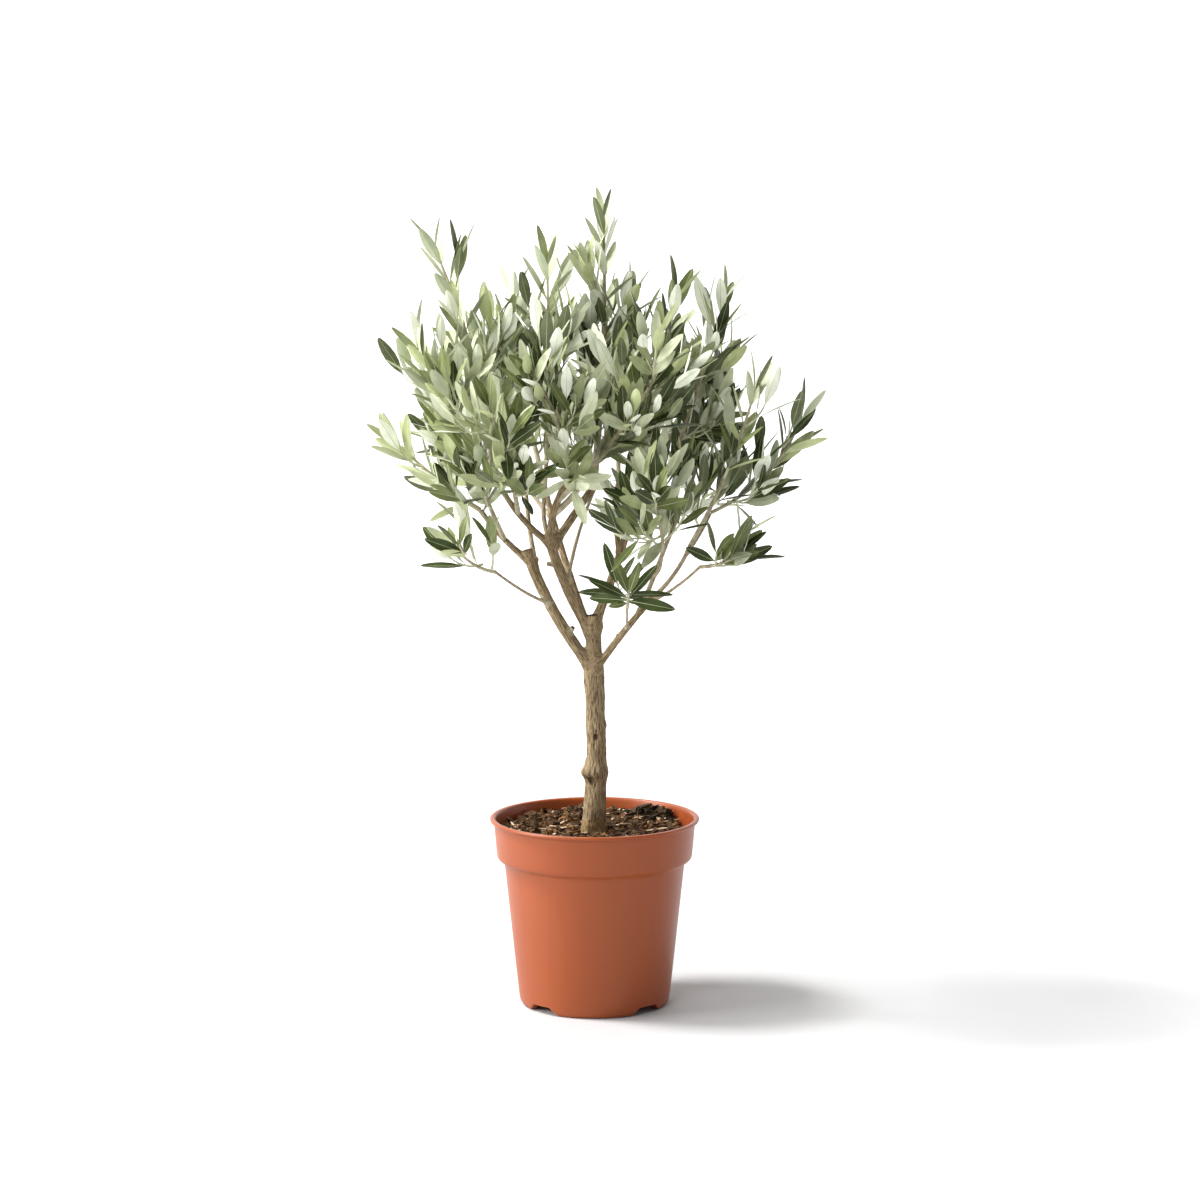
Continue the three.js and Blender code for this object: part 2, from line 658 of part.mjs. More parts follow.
let cutter = trunkSolid(GAP);
for (const limb of LIMBS) {
  addPiece(limb.name, geometryFromSolid(mainBody(limbSolid(limb).subtract(cutter))), 'bark');
  cutter = cutter.add(limbSolid(limb, GAP));
}
MASSES.forEach((mass, number) => {
  addPiece(mass.name, geometryFromSolid(massSolid(mass, number, cutter)), 'leaf');
});

export default group;
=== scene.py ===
# A young potted olive tree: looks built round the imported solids, in metres.
# The source's rule for limbs, stems and shoots is written again here, in millimetres, and
# carried on to finer twigs and life-size leaves. MM turns its numbers into metres.
import math
from types import SimpleNamespace as Table

import bpy
import bmesh
import numpy as np
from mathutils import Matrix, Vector
from mathutils.kdtree import KDTree


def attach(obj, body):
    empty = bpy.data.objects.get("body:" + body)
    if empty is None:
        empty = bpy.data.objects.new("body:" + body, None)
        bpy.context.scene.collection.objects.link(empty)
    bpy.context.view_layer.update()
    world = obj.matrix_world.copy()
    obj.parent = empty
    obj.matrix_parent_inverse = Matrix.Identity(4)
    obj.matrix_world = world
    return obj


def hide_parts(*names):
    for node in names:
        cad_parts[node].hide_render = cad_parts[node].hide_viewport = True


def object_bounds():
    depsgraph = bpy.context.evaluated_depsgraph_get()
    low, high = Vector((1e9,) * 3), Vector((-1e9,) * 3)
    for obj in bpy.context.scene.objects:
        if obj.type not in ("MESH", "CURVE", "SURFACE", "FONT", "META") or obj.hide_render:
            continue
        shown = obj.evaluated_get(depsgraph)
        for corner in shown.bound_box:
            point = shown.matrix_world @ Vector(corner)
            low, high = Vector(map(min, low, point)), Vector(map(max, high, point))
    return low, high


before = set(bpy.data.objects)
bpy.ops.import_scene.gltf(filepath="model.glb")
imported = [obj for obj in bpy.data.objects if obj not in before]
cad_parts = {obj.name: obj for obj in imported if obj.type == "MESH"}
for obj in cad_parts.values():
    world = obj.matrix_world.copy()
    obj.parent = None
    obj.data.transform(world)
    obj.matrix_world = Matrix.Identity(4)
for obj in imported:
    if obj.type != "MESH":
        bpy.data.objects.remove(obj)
cad_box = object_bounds()

MM = 0.001
BODY = "root"
UP = np.array([0.0, 0.0, 1.0])
GOLDEN_ANGLE = math.radians(137.5)

# ---- sizes, as in the source

TRUNK = Table(
    foot=157.7,
    top=356.5,
    line=[(157.7, -1.3, 0), (213, 1.6, -1), (256, 1.2, 0), (302, -0.5, 1), (356.5, -1, 2)],
    taper=[(157.7, 10.8), (257, 8.6), (329, 6.8), (356.5, 5.2)],
    swellings=[
        (157.7, 6, 1.2, (0, 0)),
        (213.5, 6.5, 3.4, (-0.5, -0.4)),
        (256, 4, 0.7, (0.6, -0.4)),
        (303, 20, 2.6, (0, 0)),
        (347, 7, 2.6, (0, 0)),
    ],
    keep_off=9,
)
# name, parent, share of the parent's length, tip, bow, radii at the foot and at the tip
LIMBS = [
    ("left_bough", "trunk", 0.77, (-61, -8, 417), (-6, -2, -1), (5.5, 4.9)),
    ("left_outer_arm", "left_bough", 0.9, (-102, -14, 453), (-1, 0, -3), (3.2, 2.4)),
    ("left_inner_arm", "left_bough", 0.68, (-62, 20, 471), (-3, 3, 0), (2.6, 2.1)),
    ("left_low_twig", "left_bough", 0.56, (-88, -28, 399), (0, -3, -2), (1.7, 1.4)),
    ("middle_bough", "trunk", 0.91, (-41, 4, 426), (-4, 0, 0), (5.2, 4.6)),
    ("left_arm", "middle_bough", 0.94, (-91, -20, 489), (-3, -4, -5), (3.2, 2.4)),
    ("front_arm", "middle_bough", 0.93, (-24, -36, 482), (-5, -2, -1), (3.8, 3.2)),
    ("upper_arm", "middle_bough", 0.97, (-45, 18, 463), (-3, 0, 0), (2.6, 2.1)),
    ("inner_arm", "middle_bough", 0.9, (-1, 24, 470), (0, 0, 0), (4.2, 3.5)),
    ("slender_arm", "middle_bough", 0.5, (0, 40, 466), (-3, 2, 0), (2, 1.7)),
    ("back_bough", "trunk", 0.95, (36, 32, 453), (2, -2, 0), (4.6, 3.3)),
    ("back_right_arm", "back_bough", 0.8, (70, 24, 493), (3, 0, -3), (2.5, 2)),
    ("rear_arm", "back_bough", 0.6, (22, 92, 474), (-3, 0, -4), (3, 2.2)),
    ("rear_left_bough", "trunk", 0.88, (-46, 74, 464), (-2, -4, 0), (4, 2.8)),
    ("rear_low_arm", "rear_left_bough", 0.8, (-66, 104, 468), (0, 3, -3), (2.4, 1.9)),
    ("right_bough", "trunk", 0.76, (54, -12, 376), (-2, -2, 0), (3.6, 2.8)),
    ("right_inner_arm", "right_bough", 0.78, (69, -4, 433), (0, 0, 0), (2.5, 2.1)),
    ("right_outer_arm", "right_bough", 0.95, (86, -18, 423), (3, 0, -2), (2.3, 2)),
    ("right_low_twig", "right_bough", 0.9, (94, -30, 404), (0, 0, -3), (1.7, 1.4)),
    ("right_far_arm", "right_outer_arm", 0.85, (104, -8, 450), (1, 0, -1), (1.8, 1.5)),
    ("front_low_twig", "right_inner_arm", 0.45, (60, -36, 418), (2, -2, -3), (1.6, 1.3)),
    ("whorl_twig", "right_bough", 0.58, (29, -30, 368), (0, -2, -1), (1.4, 1.2)),
]
# name without "_leaves", limb, share of its length, tip, bow, shoots, spread, bare share
MASSES = [
    ("far_left", "left_outer_arm", 1, (-172, -24, 510), (4, 0, -6), 4, 42, 0),
    ("low_left", "left_low_twig", 1, (-122, -60, 425), (-2, 0, -4), 4, 40, 0),
    ("left", "left_arm", 0.8, (-150, -58, 592), (-6, -4, 6), 6, 50, 0.03),
    ("left_inner", "left_outer_arm", 0.5, (-108, -74, 510), (0, 0, -4), 4, 50, 0.35),
    ("tall_left", "left_arm", 1, (-142, 6, 684), (9, 0, 0), 6, 42, 0.1),
    ("upper_left", "left_inner_arm", 1, (-80, 40, 614), (-8, 4, 0), 6, 54, 0.05),
    ("upper", "upper_arm", 1, (-42, -8, 670), (2, 4, 0), 7, 54, 0),
    ("top", "inner_arm", 1, (8, 6, 711), (4, 4, 0), 6, 46, 0.08),
    ("front_left", "left_arm", 0.5, (-90, -136, 556), (4, -8, -4), 5, 60, 0.15),
    ("front", "front_arm", 1, (-50, -150, 582), (8, -10, 0), 6, 60, 0.04),
    ("front_right", "front_arm", 0.72, (64, -128, 608), (10, -2, -2), 5, 60, 0.28),
    ("centre", "front_arm", 0.5, (16, -66, 544), (4, 4, -10), 5, 54, 0.35),
    ("inner", "slender_arm", 1, (12, 70, 628), (0, 8, 0), 5, 46, 0.05),
    ("upper_right", "back_bough", 1, (72, -8, 640), (-4, 4, 0), 6, 54, 0.05),
    ("tall_right", "back_right_arm", 1, (116, 6, 640), (2, 0, 0), 5, 42, 0.05),
    ("rear", "rear_arm", 1, (20, 130, 588), (0, 12, -4), 5, 60, 0.1),
    ("rear_right", "rear_arm", 0.8, (96, 112, 548), (0, 12, -8), 5, 60, 0.25),
    ("rear_left", "rear_left_bough", 1, (-84, 104, 590), (2, 10, 0), 5, 60, 0.15),
    ("rear_low", "rear_low_arm", 1, (-130, 108, 510), (0, 8, -4), 5, 56, 0.1),
    ("right_inner", "right_inner_arm", 1, (110, 54, 556), (4, 8, -4), 5, 58, 0.03),
    ("right", "right_outer_arm", 1, (141, -44, 562), (4, -6, -2), 5, 40, 0.03),
    ("far_right", "right_far_arm", 1, (184, -4, 532), (8, 0, -8), 4, 36, 0.05),
    ("low_right", "right_low_twig", 1, (120, -62, 415), (0, 0, -2), 4, 38, 0),
    ("front_low", "front_low_twig", 1, (48, -116, 482), (4, -4, -6), 6, 52, 0),
    ("whorl", "whorl_twig", 1, (30, -84, 388), (0, -2, -5), 1, 30, 0),
]
WHEEL = "whorl"

STEM = Table(tip=1.0, share=1.1, least=1.9, slim=0.92, step=50)
SHOOT = Table(
    angle=50, lift=0.42, follow=0.25, bare=0.1, highest=0.86,
    longest=1.05, shorten=0.5, vary=0.15, tries=6, try_shorter=0.08,
    places=(0.2, 0.45, 0.7, 1), points=13, radii=(1.25, 0.65),
)
CLEAR = 1.6
LIMB_STEP = 28
CURVE_POINTS = Table(trunk=121, limb=41, stem=25)
SHORTEST_KNOT = 1e-4

# ---- the rule, written again

# whole numbers for mixing bits
MIX = Table(first=2166136261, each=16777619, last=1540483477)
NOISE_MIX = (374761393, 668265263, 2147483647, 1274126177)
NOISE_LAST = 1103515245


def wrap(value):
    """The lowest 32 bits of a whole number."""
    return value & 0xFFFFFFFF


def chance(*keys):
    """A number from 0 to 1 that depends only on the whole numbers given."""
    mixed = MIX.first
    for key in keys:
        mixed = wrap((mixed ^ (key + 1)) * MIX.each)
        mixed ^= mixed >> 15
    mixed = wrap((mixed ^ (mixed >> 13)) * MIX.last)
    mixed ^= mixed >> 15
    return mixed / 2 ** 32


def unit(vector):
    return vector / np.linalg.norm(vector)


def across(direction):
    """Two directions square to a direction and to each other: the side and the top."""
    helper = np.array([0.0, 1, 0]) if abs(direction[1]) < 0.8 else np.array([1.0, 0, 0])
    side = unit(np.cross(direction, helper))
    return side, np.cross(side, direction)


def curve(root, middle, tip, count):
    """A curve from the root to the tip, drawn towards the middle."""
    t = np.linspace(0, 1, count)[:, None]
    return (1 - t) ** 2 * root + 2 * t * (1 - t) * middle + t ** 2 * tip


def around(side, top, angle):
    """The direction at an angle from the side towards the top."""
    return side * math.cos(angle) + top * math.sin(angle)


def varied(amount, luck):
    """A factor as much as the amount below or above 1, for a luck from 0 to 1."""
    return 1 + amount * (2 * luck - 1)


def length_of(path):
    return float(np.linalg.norm(np.diff(path, axis=0), axis=1).sum())


def place_on(path, share):
    """The place and the direction at a share of a path's length."""
    reach = share * (len(path) - 1)
    row = min(len(path) - 2, int(reach))
    along = path[row + 1] - path[row]
    return path[row] + along * (reach - row), unit(along)


def coarse(path, step):
    """The same curve in as few straight lines as the source has."""
    count = max(1, round(length_of(path) / step))
    return np.array([place_on(path, row / count)[0] for row in range(count + 1)])


def slope_at(a, b, c, before, after):
    """The slope at the middle one of three points, by the distances between them."""
    return (b - a) / before - (c - a) / (before + after) + (c - b) / after


def catmull(points, count):
    """The trunk's centre line: a centripetal spline through the points."""
    points = [np.array(p, float) for p in points]
    points = [2 * points[0] - points[1]] + points + [2 * points[-1] - points[-2]]
    spans = len(points) - 3
    line = []
    for step in range(count):
        reach = step / (count - 1) * spans
        row = min(spans - 1, int(reach))
        t = reach - row
        p0, p1, p2, p3 = points[row:row + 4]
        before, here, after = (
            max(np.linalg.norm(b - a) ** 0.5, SHORTEST_KNOT)
            for a, b in ((p0, p1), (p1, p2), (p2, p3)))
        m1 = slope_at(p0, p1, p2, before, here) * here
        m2 = slope_at(p1, p2, p3, here, after) * here
        cubic = (2 * p1 - 2 * p2 + m1 + m2) * t ** 3
        line.append(cubic + (-3 * p1 + 3 * p2 - 2 * m1 - m2) * t ** 2 + m1 * t + p1)
    return np.array(line)


def lines_distance(points, starts, ends):
    """Least distance from each point to any of the straight lines."""
    span = ends - starts
    share = ((points[:, None] - starts) * span).sum(-1) / (span ** 2).sum(-1)
    nearest = starts + np.clip(share, 0, 1)[..., None] * span
    return np.linalg.norm(points[:, None] - nearest, axis=-1)


def grown(parent, at, tip, bow, count):
    """The path from a share of a limb's length to the tip, its middle aside by the bow."""
    root = place_on(limb_paths[parent], at)[0]
    tip = np.array(tip, float)
    return curve(root, (root + tip) / 2 + 2 * np.array(bow, float), tip, count)


def straight_lines(marked_paths, step):
    """Marks, starts and ends of the straight lines that follow marked paths."""
    rows = []
    for mark, path in marked_paths:
        few = coarse(path, step)
        rows += [(mark, start, end) for start, end in zip(few[:-1], few[1:])]
    return [np.array(column) for column in zip(*rows)]


trunk_path = catmull([(x, y, z) for z, x, y in TRUNK.line], CURVE_POINTS.trunk)
limb_paths = {"trunk": trunk_path}
for name, parent, at, tip, bow, radii in LIMBS:
    limb_paths[name] = grown(parent, at, tip, bow, CURVE_POINTS.limb)
limb_radii_ends = {row[0]: row[5] for row in LIMBS}
stem_paths = [grown(*row[1:5], CURVE_POINTS.stem) for row in MASSES]

stem_owner, stem_starts, stem_stops = straight_lines(enumerate(stem_paths), STEM.step)
keep_off = {"trunk": TRUNK.keep_off, **{row[0]: max(row[5]) for row in LIMBS}}
limb_radius, limb_starts, limb_stops = straight_lines(
    ((keep_off[name], path) for name, path in limb_paths.items()), LIMB_STEP)


def clears_limbs(points, spare):
    """Whether no limb is nearer to the points than the spare distance."""
    return bool(np.all(lines_distance(points, limb_starts, limb_stops) - limb_radius > spare))


def is_free(number, points):
    """Whether points are in a mass's own space and clear of the limbs."""
    stems = lines_distance(points, stem_starts, stem_stops)
    own = stems[:, stem_owner == number].min(1)
    other = stems[:, stem_owner != number].min(1)
    return bool(np.all(own + CLEAR <= other)) and clears_limbs(points, CLEAR)


def shoot_path(stem, share, angle, length, lean=SHOOT.angle):
    """A shoot that leaves its stem at a lean and then turns upwards."""
    root, along = place_on(stem, share)
    side, top = across(along)
    start = around(along, around(side, top, angle), math.radians(lean))
    end = unit(start + UP * SHOOT.lift + along * SHOOT.follow)
    return curve(root, root + start * length / 2, root + end * length, SHOOT.points)


def grow_shoots(number):
    """The shoots of a mass that find room, with their shares of the stem's length."""
    name, limb, at, tip, bow, count, spread, bare = MASSES[number]
    stem = coarse(stem_paths[number], STEM.step)
    shoots = []
    for turn in range(count):
        share = bare + (SHOOT.highest - bare) * (turn + 0.5) / count
        length = spread * (SHOOT.longest - SHOOT.shorten * share)
        length *= varied(SHOOT.vary, chance(number, turn, 1))
        start = 2 * math.pi * chance(number, 2)
        for attempt in range(SHOOT.tries):
            shorter = length * (1 - SHOOT.try_shorter * attempt)
            shoot = shoot_path(stem, share, start + GOLDEN_ANGLE * turn + attempt, shorter)
            if is_free(number, np.array([place_on(shoot, s)[0] for s in SHOOT.places])):
                shoots.append((shoot, share))
                break
    return shoots


# ---- meshes


def hashed(x, y, z, seed):
    """A number from 0 to 1 for each place given in whole numbers."""
    mixed = wrap(sum(value * factor for value, factor in zip((x, y, z, seed), NOISE_MIX)))
    mixed = wrap((mixed ^ (mixed >> 13)) * NOISE_LAST)
    return ((mixed ^ (mixed >> 16)) & 0xFFFF) / 0xFFFF


def noise(points, seed=0):
    """Smooth noise from 0 to 1, one bump to a unit."""
    cell = np.floor(points).astype(np.int64)
    t = points - cell
    t = t * t * (3 - 2 * t)
    total = np.zeros(len(points))
    for corner in range(8):
        step = np.array([corner & 1, corner >> 1 & 1, corner >> 2 & 1])
        weight = np.prod(np.where(step, t, 1 - t), axis=1)
        total += weight * hashed(*(cell + step).T, seed)
    return total


def add_object(name, data):
    """A new object in the scene."""
    made = bpy.data.objects.new(name, data)
    bpy.context.scene.collection.objects.link(made)
    return made


def add_mesh(name, vertices, faces, materials, index=None, sharp=None):
    """A mesh object from points in millimetres."""
    mesh = bpy.data.meshes.new(name)
    mesh.from_pydata((np.asarray(vertices) * MM).tolist(), [], [list(face) for face in faces])
    for one in materials:
        mesh.materials.append(one)
    if index is not None:
        mesh.polygons.foreach_set("material_index", np.asarray(index, np.int32))
    mesh.polygons.foreach_set("use_smooth", [sharp is not None] * len(mesh.polygons))
    if sharp is not None:
        mesh.set_sharp_from_angle(angle=math.radians(sharp))
    mesh.update()
    return add_object(name, mesh)


def ring_faces(rings, sides, start=0):
    """Faces of a skin through rings of points, with flat ends."""
    faces = []
    for ring in range(rings - 1):
        low = start + ring * sides
        for side in range(sides):
            after = (side + 1) % sides
            faces.append((low + side, low + after, low + sides + after, low + sides + side))
    last = start + (rings - 1) * sides
    faces.append(tuple(start + side for side in reversed(range(sides))))
    faces.append(tuple(last + side for side in range(sides)))
    return faces


def tube_frames(path):
    """The direction at each point of a path, and two directions square to it."""
    tangents = np.gradient(path, axis=0)
    tangents /= np.linalg.norm(tangents, axis=1)[:, None]
    side = across(tangents[0])[0]
    sides = []
    for tangent in tangents:
        side = unit(side - tangent * side.dot(tangent))
        sides.append(side)
    sides = np.array(sides)
    return tangents, sides, np.cross(tangents, sides)


def tube(path, radii, sides):
    """Points of a round tube, with a radius for each point of its path."""
    tangents, side, top = tube_frames(path)
    angles = np.arange(sides) * 2 * math.pi / sides
    ring = side[:, None] * np.cos(angles)[:, None] + top[:, None] * np.sin(angles)[:, None]
    return (path[:, None] + ring * np.asarray(radii)[:, None, None]).reshape(-1, 3)


def resample(path, step):
    """Points about one step apart along a path."""
    lengths = np.concatenate([[0], np.cumsum(np.linalg.norm(np.diff(path, axis=0), axis=1))])
    count = max(2, int(lengths[-1] / step) + 1)
    at = np.linspace(0, lengths[-1], count)
    return np.stack([np.interp(at, lengths, path[:, axis]) for axis in range(3)], axis=1)


def clean_up(mesh, distance):
    """Joins points that meet, turns the faces outwards and makes them smooth."""
    clean = bmesh.new()
    clean.from_mesh(mesh)
    bmesh.ops.remove_doubles(clean, verts=clean.verts, dist=distance)
    bmesh.ops.recalc_face_normals(clean, faces=clean.faces)
    clean.to_mesh(mesh)
    clean.free()
    mesh.polygons.foreach_set("use_smooth", [True] * len(mesh.polygons))


# ---- materials

# the noise of the relief: how much finer than the colours, and its detail
FINE = Table(scale=3.7, detail=5.0)


def feed(tree, node, **inputs):
    """Fills a node's inputs. An output is linked to its input, and any other value is set."""
    for name, given in inputs.items():
        socket = node.inputs[name.replace("_", " ")]
        if isinstance(given, bpy.types.NodeSocket):
            tree.links.new(given, socket)
        else:
            socket.default_value = given


def add_node(tree, kind, **inputs):
    """A new node with its inputs."""
    node = tree.nodes.new("ShaderNode" + kind)
    feed(tree, node, **inputs)
    return node


def add_ramp(tree, value, stops):
    """The colour for a value from 0 to 1, by stops of position and colour."""
    ramp = add_node(tree, "ValToRGB", Fac=value)
    for _ in stops[2:]:
        ramp.color_ramp.elements.new(1)
    for stop, (position, colour) in zip(ramp.color_ramp.elements, stops):
        stop.position = position
        stop.color = (*colour, 1)
    return ramp.outputs["Color"]


def procedural(name, light, dark, scale, roughness, bump, gloss=0.5, stretch=(1, 1, 1),
               source="Object", detail=4.0, spread=0.08, contrast=(0.35, 0.65)):
    """Two colours mixed by noise, with roughness and relief from noise as well."""
    made = bpy.data.materials.new(name)
    made.use_nodes = True
    tree = made.node_tree
    if source == "Object":
        place = add_node(tree, "TexCoord").outputs["Object"]
    else:
        attribute = add_node(tree, "Attribute")
        attribute.attribute_name = source
        place = attribute.outputs["Vector"]
    place = add_node(tree, "Mapping", Vector=place, Scale=stretch).outputs["Vector"]
    broad = add_node(tree, "TexNoise", Vector=place, Scale=scale, Detail=detail).outputs["Fac"]
    fine = add_node(tree, "TexNoise", Vector=place, Scale=scale * FINE.scale, Detail=FINE.detail)
    rough = add_node(
        tree, "MapRange", Value=broad, To_Min=roughness + spread, To_Max=roughness - spread)
    relief = add_node(
        tree, "Bump", Height=fine.outputs["Fac"], Strength=bump[0], Distance=bump[1])
    feed(tree, tree.nodes["Principled BSDF"], Specular_IOR_Level=gloss,
         Base_Color=add_ramp(tree, broad, list(zip(contrast, (dark, light)))),
         Roughness=rough.outputs["Result"], Normal=relief.outputs["Normal"])
    return made


pot_finish = procedural(
    "terracotta plastic", (0.298, 0.064, 0.0145), (0.264, 0.054, 0.0115), 9, 0.40, (0.05, 0.0004),
    stretch=(1, 1, 0.35), spread=0.05, gloss=0.36)
soil_finish = procedural(
    "dark compost", (0.105, 0.050, 0.020), (0.014, 0.007, 0.003), 190, 0.92, (0.8, 0.0012),
    gloss=0.2)
chip_finishes = [
    procedural(name, light, dark, scale, 0.82, (relief, 0.0006), gloss=0.15)
    for name, light, dark, scale, relief in (
        ("bark chips", (0.092, 0.046, 0.019), (0.024, 0.012, 0.005), 240, 0.5),
        ("brown chips", (0.23, 0.118, 0.050), (0.10, 0.048, 0.020), 240, 0.4),
        ("pale chips", (0.70, 0.53, 0.35), (0.40, 0.28, 0.165), 260, 0.3),
        ("charred bark", (0.062, 0.044, 0.023), (0.012, 0.008, 0.005), 150, 0.9),
    )
]
bark_finish = procedural(
    "olive bark", (0.32, 0.238, 0.137), (0.066, 0.043, 0.021), 1.3, 0.85, (0.6, 0.0007),
    stretch=(1, 1, 0.4), source="bark", detail=6, contrast=(0.34, 0.62), gloss=0.2)
cut_and_hollow_shade_finish = procedural(
    "cut wood and hollow shade", (0.105, 0.062, 0.033), (0.028, 0.016, 0.008), 260, 0.85, (0.4, 0.0006),
    gloss=0.2)
damp_bark_finish = procedural(
    "damp bark", (0.29, 0.195, 0.088), (0.075, 0.044, 0.018), 1.1, 0.85, (0.8, 0.0009),
    source="bark", detail=6, contrast=(0.34, 0.62), gloss=0.2)
young_bark_finish = procedural(
    "young bark", (0.40, 0.335, 0.215), (0.17, 0.13, 0.08), 1.2, 0.75, (0.3, 0.0003),
    source="bark", detail=5)
twig_finishes = [
    procedural("brown twigs", (0.46, 0.41, 0.28), (0.27, 0.23, 0.145), 160, 0.7, (0.3, 0.0003)),
    procedural("green twigs", (0.60, 0.60, 0.41), (0.42, 0.43, 0.27), 160, 0.6, (0.2, 0.0002)),
]
# leaf shades: the darker ones go mostly where shade falls and the paler ones where light falls, so
# besides the leaves' own colours they carry painted shade and painted light
UPPER = [
    ("dark leaf", (0.050, 0.069, 0.018), (0.026, 0.039, 0.008)),
    ("olive leaf", (0.145, 0.172, 0.056), (0.092, 0.115, 0.034)),
    ("mid leaf", (0.35, 0.385, 0.20), (0.24, 0.272, 0.125)),
    ("young leaf", (0.64, 0.67, 0.48), (0.48, 0.51, 0.335)),
]
UNDER = [
    ("dull shaded underside", (0.15, 0.172, 0.090), (0.10, 0.118, 0.057)),
    ("grey underside", (0.48, 0.52, 0.36), (0.37, 0.41, 0.275)),
    ("silver underside", (0.88, 0.91, 0.77), (0.75, 0.785, 0.64)),
    ("green underside", (0.55, 0.60, 0.32), (0.43, 0.48, 0.24)),
]
leaf_finishes = [
    procedural(name, light, dark, 70, roughness, (0.12, 0.0003), gloss=gloss)
    for rows, roughness, gloss in ((UPPER, 0.45, 0.26), (UNDER, 0.6, 0.25))
    for name, light, dark in rows
] + [
    procedural("midrib", (0.44, 0.48, 0.29), (0.36, 0.40, 0.22), 90, 0.5, (0.1, 0.0002))
]
FIRST_UNDER = len(UPPER)
MIDRIB = len(UPPER) + len(UNDER)

# ---- trunk and boughs


def trunk_radius(height):
    """The trunk's radius without its swellings."""
    return np.interp(height, *zip(*TRUNK.taper))


def swelling(height, angle):
    """How far the knots and the foot stand out at a height and an angle."""
    total = 0
    for at, reach, rise, side in TRUNK.swellings:
        bell = np.exp(-((height - at) / reach) ** 2)
        total = total + rise * bell * (1 + side[0] * np.cos(angle) + side[1] * np.sin(angle))
    return total


# Stubs and knots: limb, share of its length, turn in degrees, length, radius, saw cut
NUBS = [
    ("trunk", 0.255, -44, 1.6, 5.0, False),
    ("trunk", 0.30, -16, 1.8, 3.2, False),
    ("trunk", 0.445, -88, 0.3, 2.6, False),
    ("trunk", 0.5, 190, 1.2, 2.4, False),
    ("left_bough", 0.30, 200, 4.5, 2.4, True),
    ("left_bough", 0.86, 120, 6.0, 3.2, True),
    ("middle_bough", 0.72, 20, 5.5, 2.4, True),
    ("middle_bough", 0.98, 170, 5.0, 3.6, True),
    ("back_bough", 0.45, -60, 4.0, 1.8, True),
    ("right_bough", 0.42, 60, 3.2, 1.5, True),
    ("left_outer_arm", 0.4, -80, 3.0, 1.3, True),
    ("right_bough", 0.97, 90, 3.5, 2.0, True),
]
# Hollows in the trunk, which take the dark cut finish as painted shade: share of its length, turn in
# degrees, distance out, radius, depth
HOLLOWS = [
    (0.225, -62, 10.5, 3.5, 3.2),
    (0.262, -30, 12.5, 1.5, 1.2),
    (0.445, -88, 8.6, 2.3, 1.2),
    (0.475, -92, 8.4, 1.0, 0.5),
]
# the bark is damp and stained up to about this height
DAMP = Table(height=168.0, ragged=6.0)
# the skin before its relief
SKIN = Table(
    sunk=5.0, levels=150, trunk_sides=40, step=3, limb_sides=16,
    nub_rings=6, nub_sides=12, cut_lean=0.5, knot_lean=0.1, trunk_radius=8.5,
    voxel=0.85, smoothings=3, smooth_by=0.5,
)
# the foot's buttresses, and how the trunk is out of round: amount, bulges, height
BUTTRESS = Table(reach=9, rise=0.8, vary=0.9, turn=0.6)
OUT_OF_ROUND = [(0.35, 2, 14), (0.25, 3, -9)]
COLLAR = Table(rise=0.55, reach=2.2)
LIMB_END = Table(rise=0.12, reach=5)
# bark relief: bumps to a millimetre, and how much each kind moves
FISSURE = Table(grain=(0.62, 0.62, 0.13), much=1.6, sharp=5)
SCALES = Table(grain=(0.9, 0.9, 0.35), much=0.8)
LUMPS = Table(grain=(0.16, 0.16, 0.09), much=1.3)
DEPTH = Table(share=0.05, least=0.05, most=0.5)
SAW_CUT = Table(within=0.6, facing=0.6, sunk=0.3)
HOLLOW = Table(drawn_out=0.35, least=0.75, ragged=0.5)
# limbs thinner than this have young bark, and each limb's grain starts this far on
YOUNG = 2.7
GRAIN_APART = 137.0


def trunk_points():
    """The trunk's skin, its rings, and the points in a ring."""
    heights = np.linspace(TRUNK.foot - SKIN.sunk, TRUNK.top, SKIN.levels)
    centres = [np.interp(heights, trunk_path[:, 2], trunk_path[:, axis]) for axis in range(2)]
    sides = SKIN.trunk_sides
    angles = np.arange(sides) * 2 * math.pi / sides
    height, angle = np.meshgrid(heights, angles, indexing="ij")
    radius = trunk_radius(height) + swelling(height, angle)
    foot = np.exp(-((height - TRUNK.foot) / BUTTRESS.reach) ** 2)
    radius += foot * (BUTTRESS.rise + BUTTRESS.vary * np.cos(3 * angle + BUTTRESS.turn))
    for amount, bulges, rise in OUT_OF_ROUND:
        radius += amount * np.cos(bulges * angle + height / rise)
    points = np.stack([
        centres[0][:, None] + radius * np.cos(angle),
        centres[1][:, None] + radius * np.sin(angle), height], axis=-1)
    return points.reshape(-1, 3), len(heights), sides


def limb_radii(radii, path):
    """A limb swells where it leaves its parent, and a little at its end."""
    lengths = np.linspace(0, length_of(path), len(path))
    plain = np.linspace(radii[0], radii[1], len(path))
    collar = COLLAR.rise * np.exp(-(lengths / (COLLAR.reach * radii[0])) ** 2)
    end = LIMB_END.rise * np.exp(-((lengths[-1] - lengths) / LIMB_END.reach) ** 2)
    return plain * (1 + collar + end)


def outward(along, turn):
    """The direction square to a limb at a turn in degrees."""
    return around(*across(along), math.radians(turn))


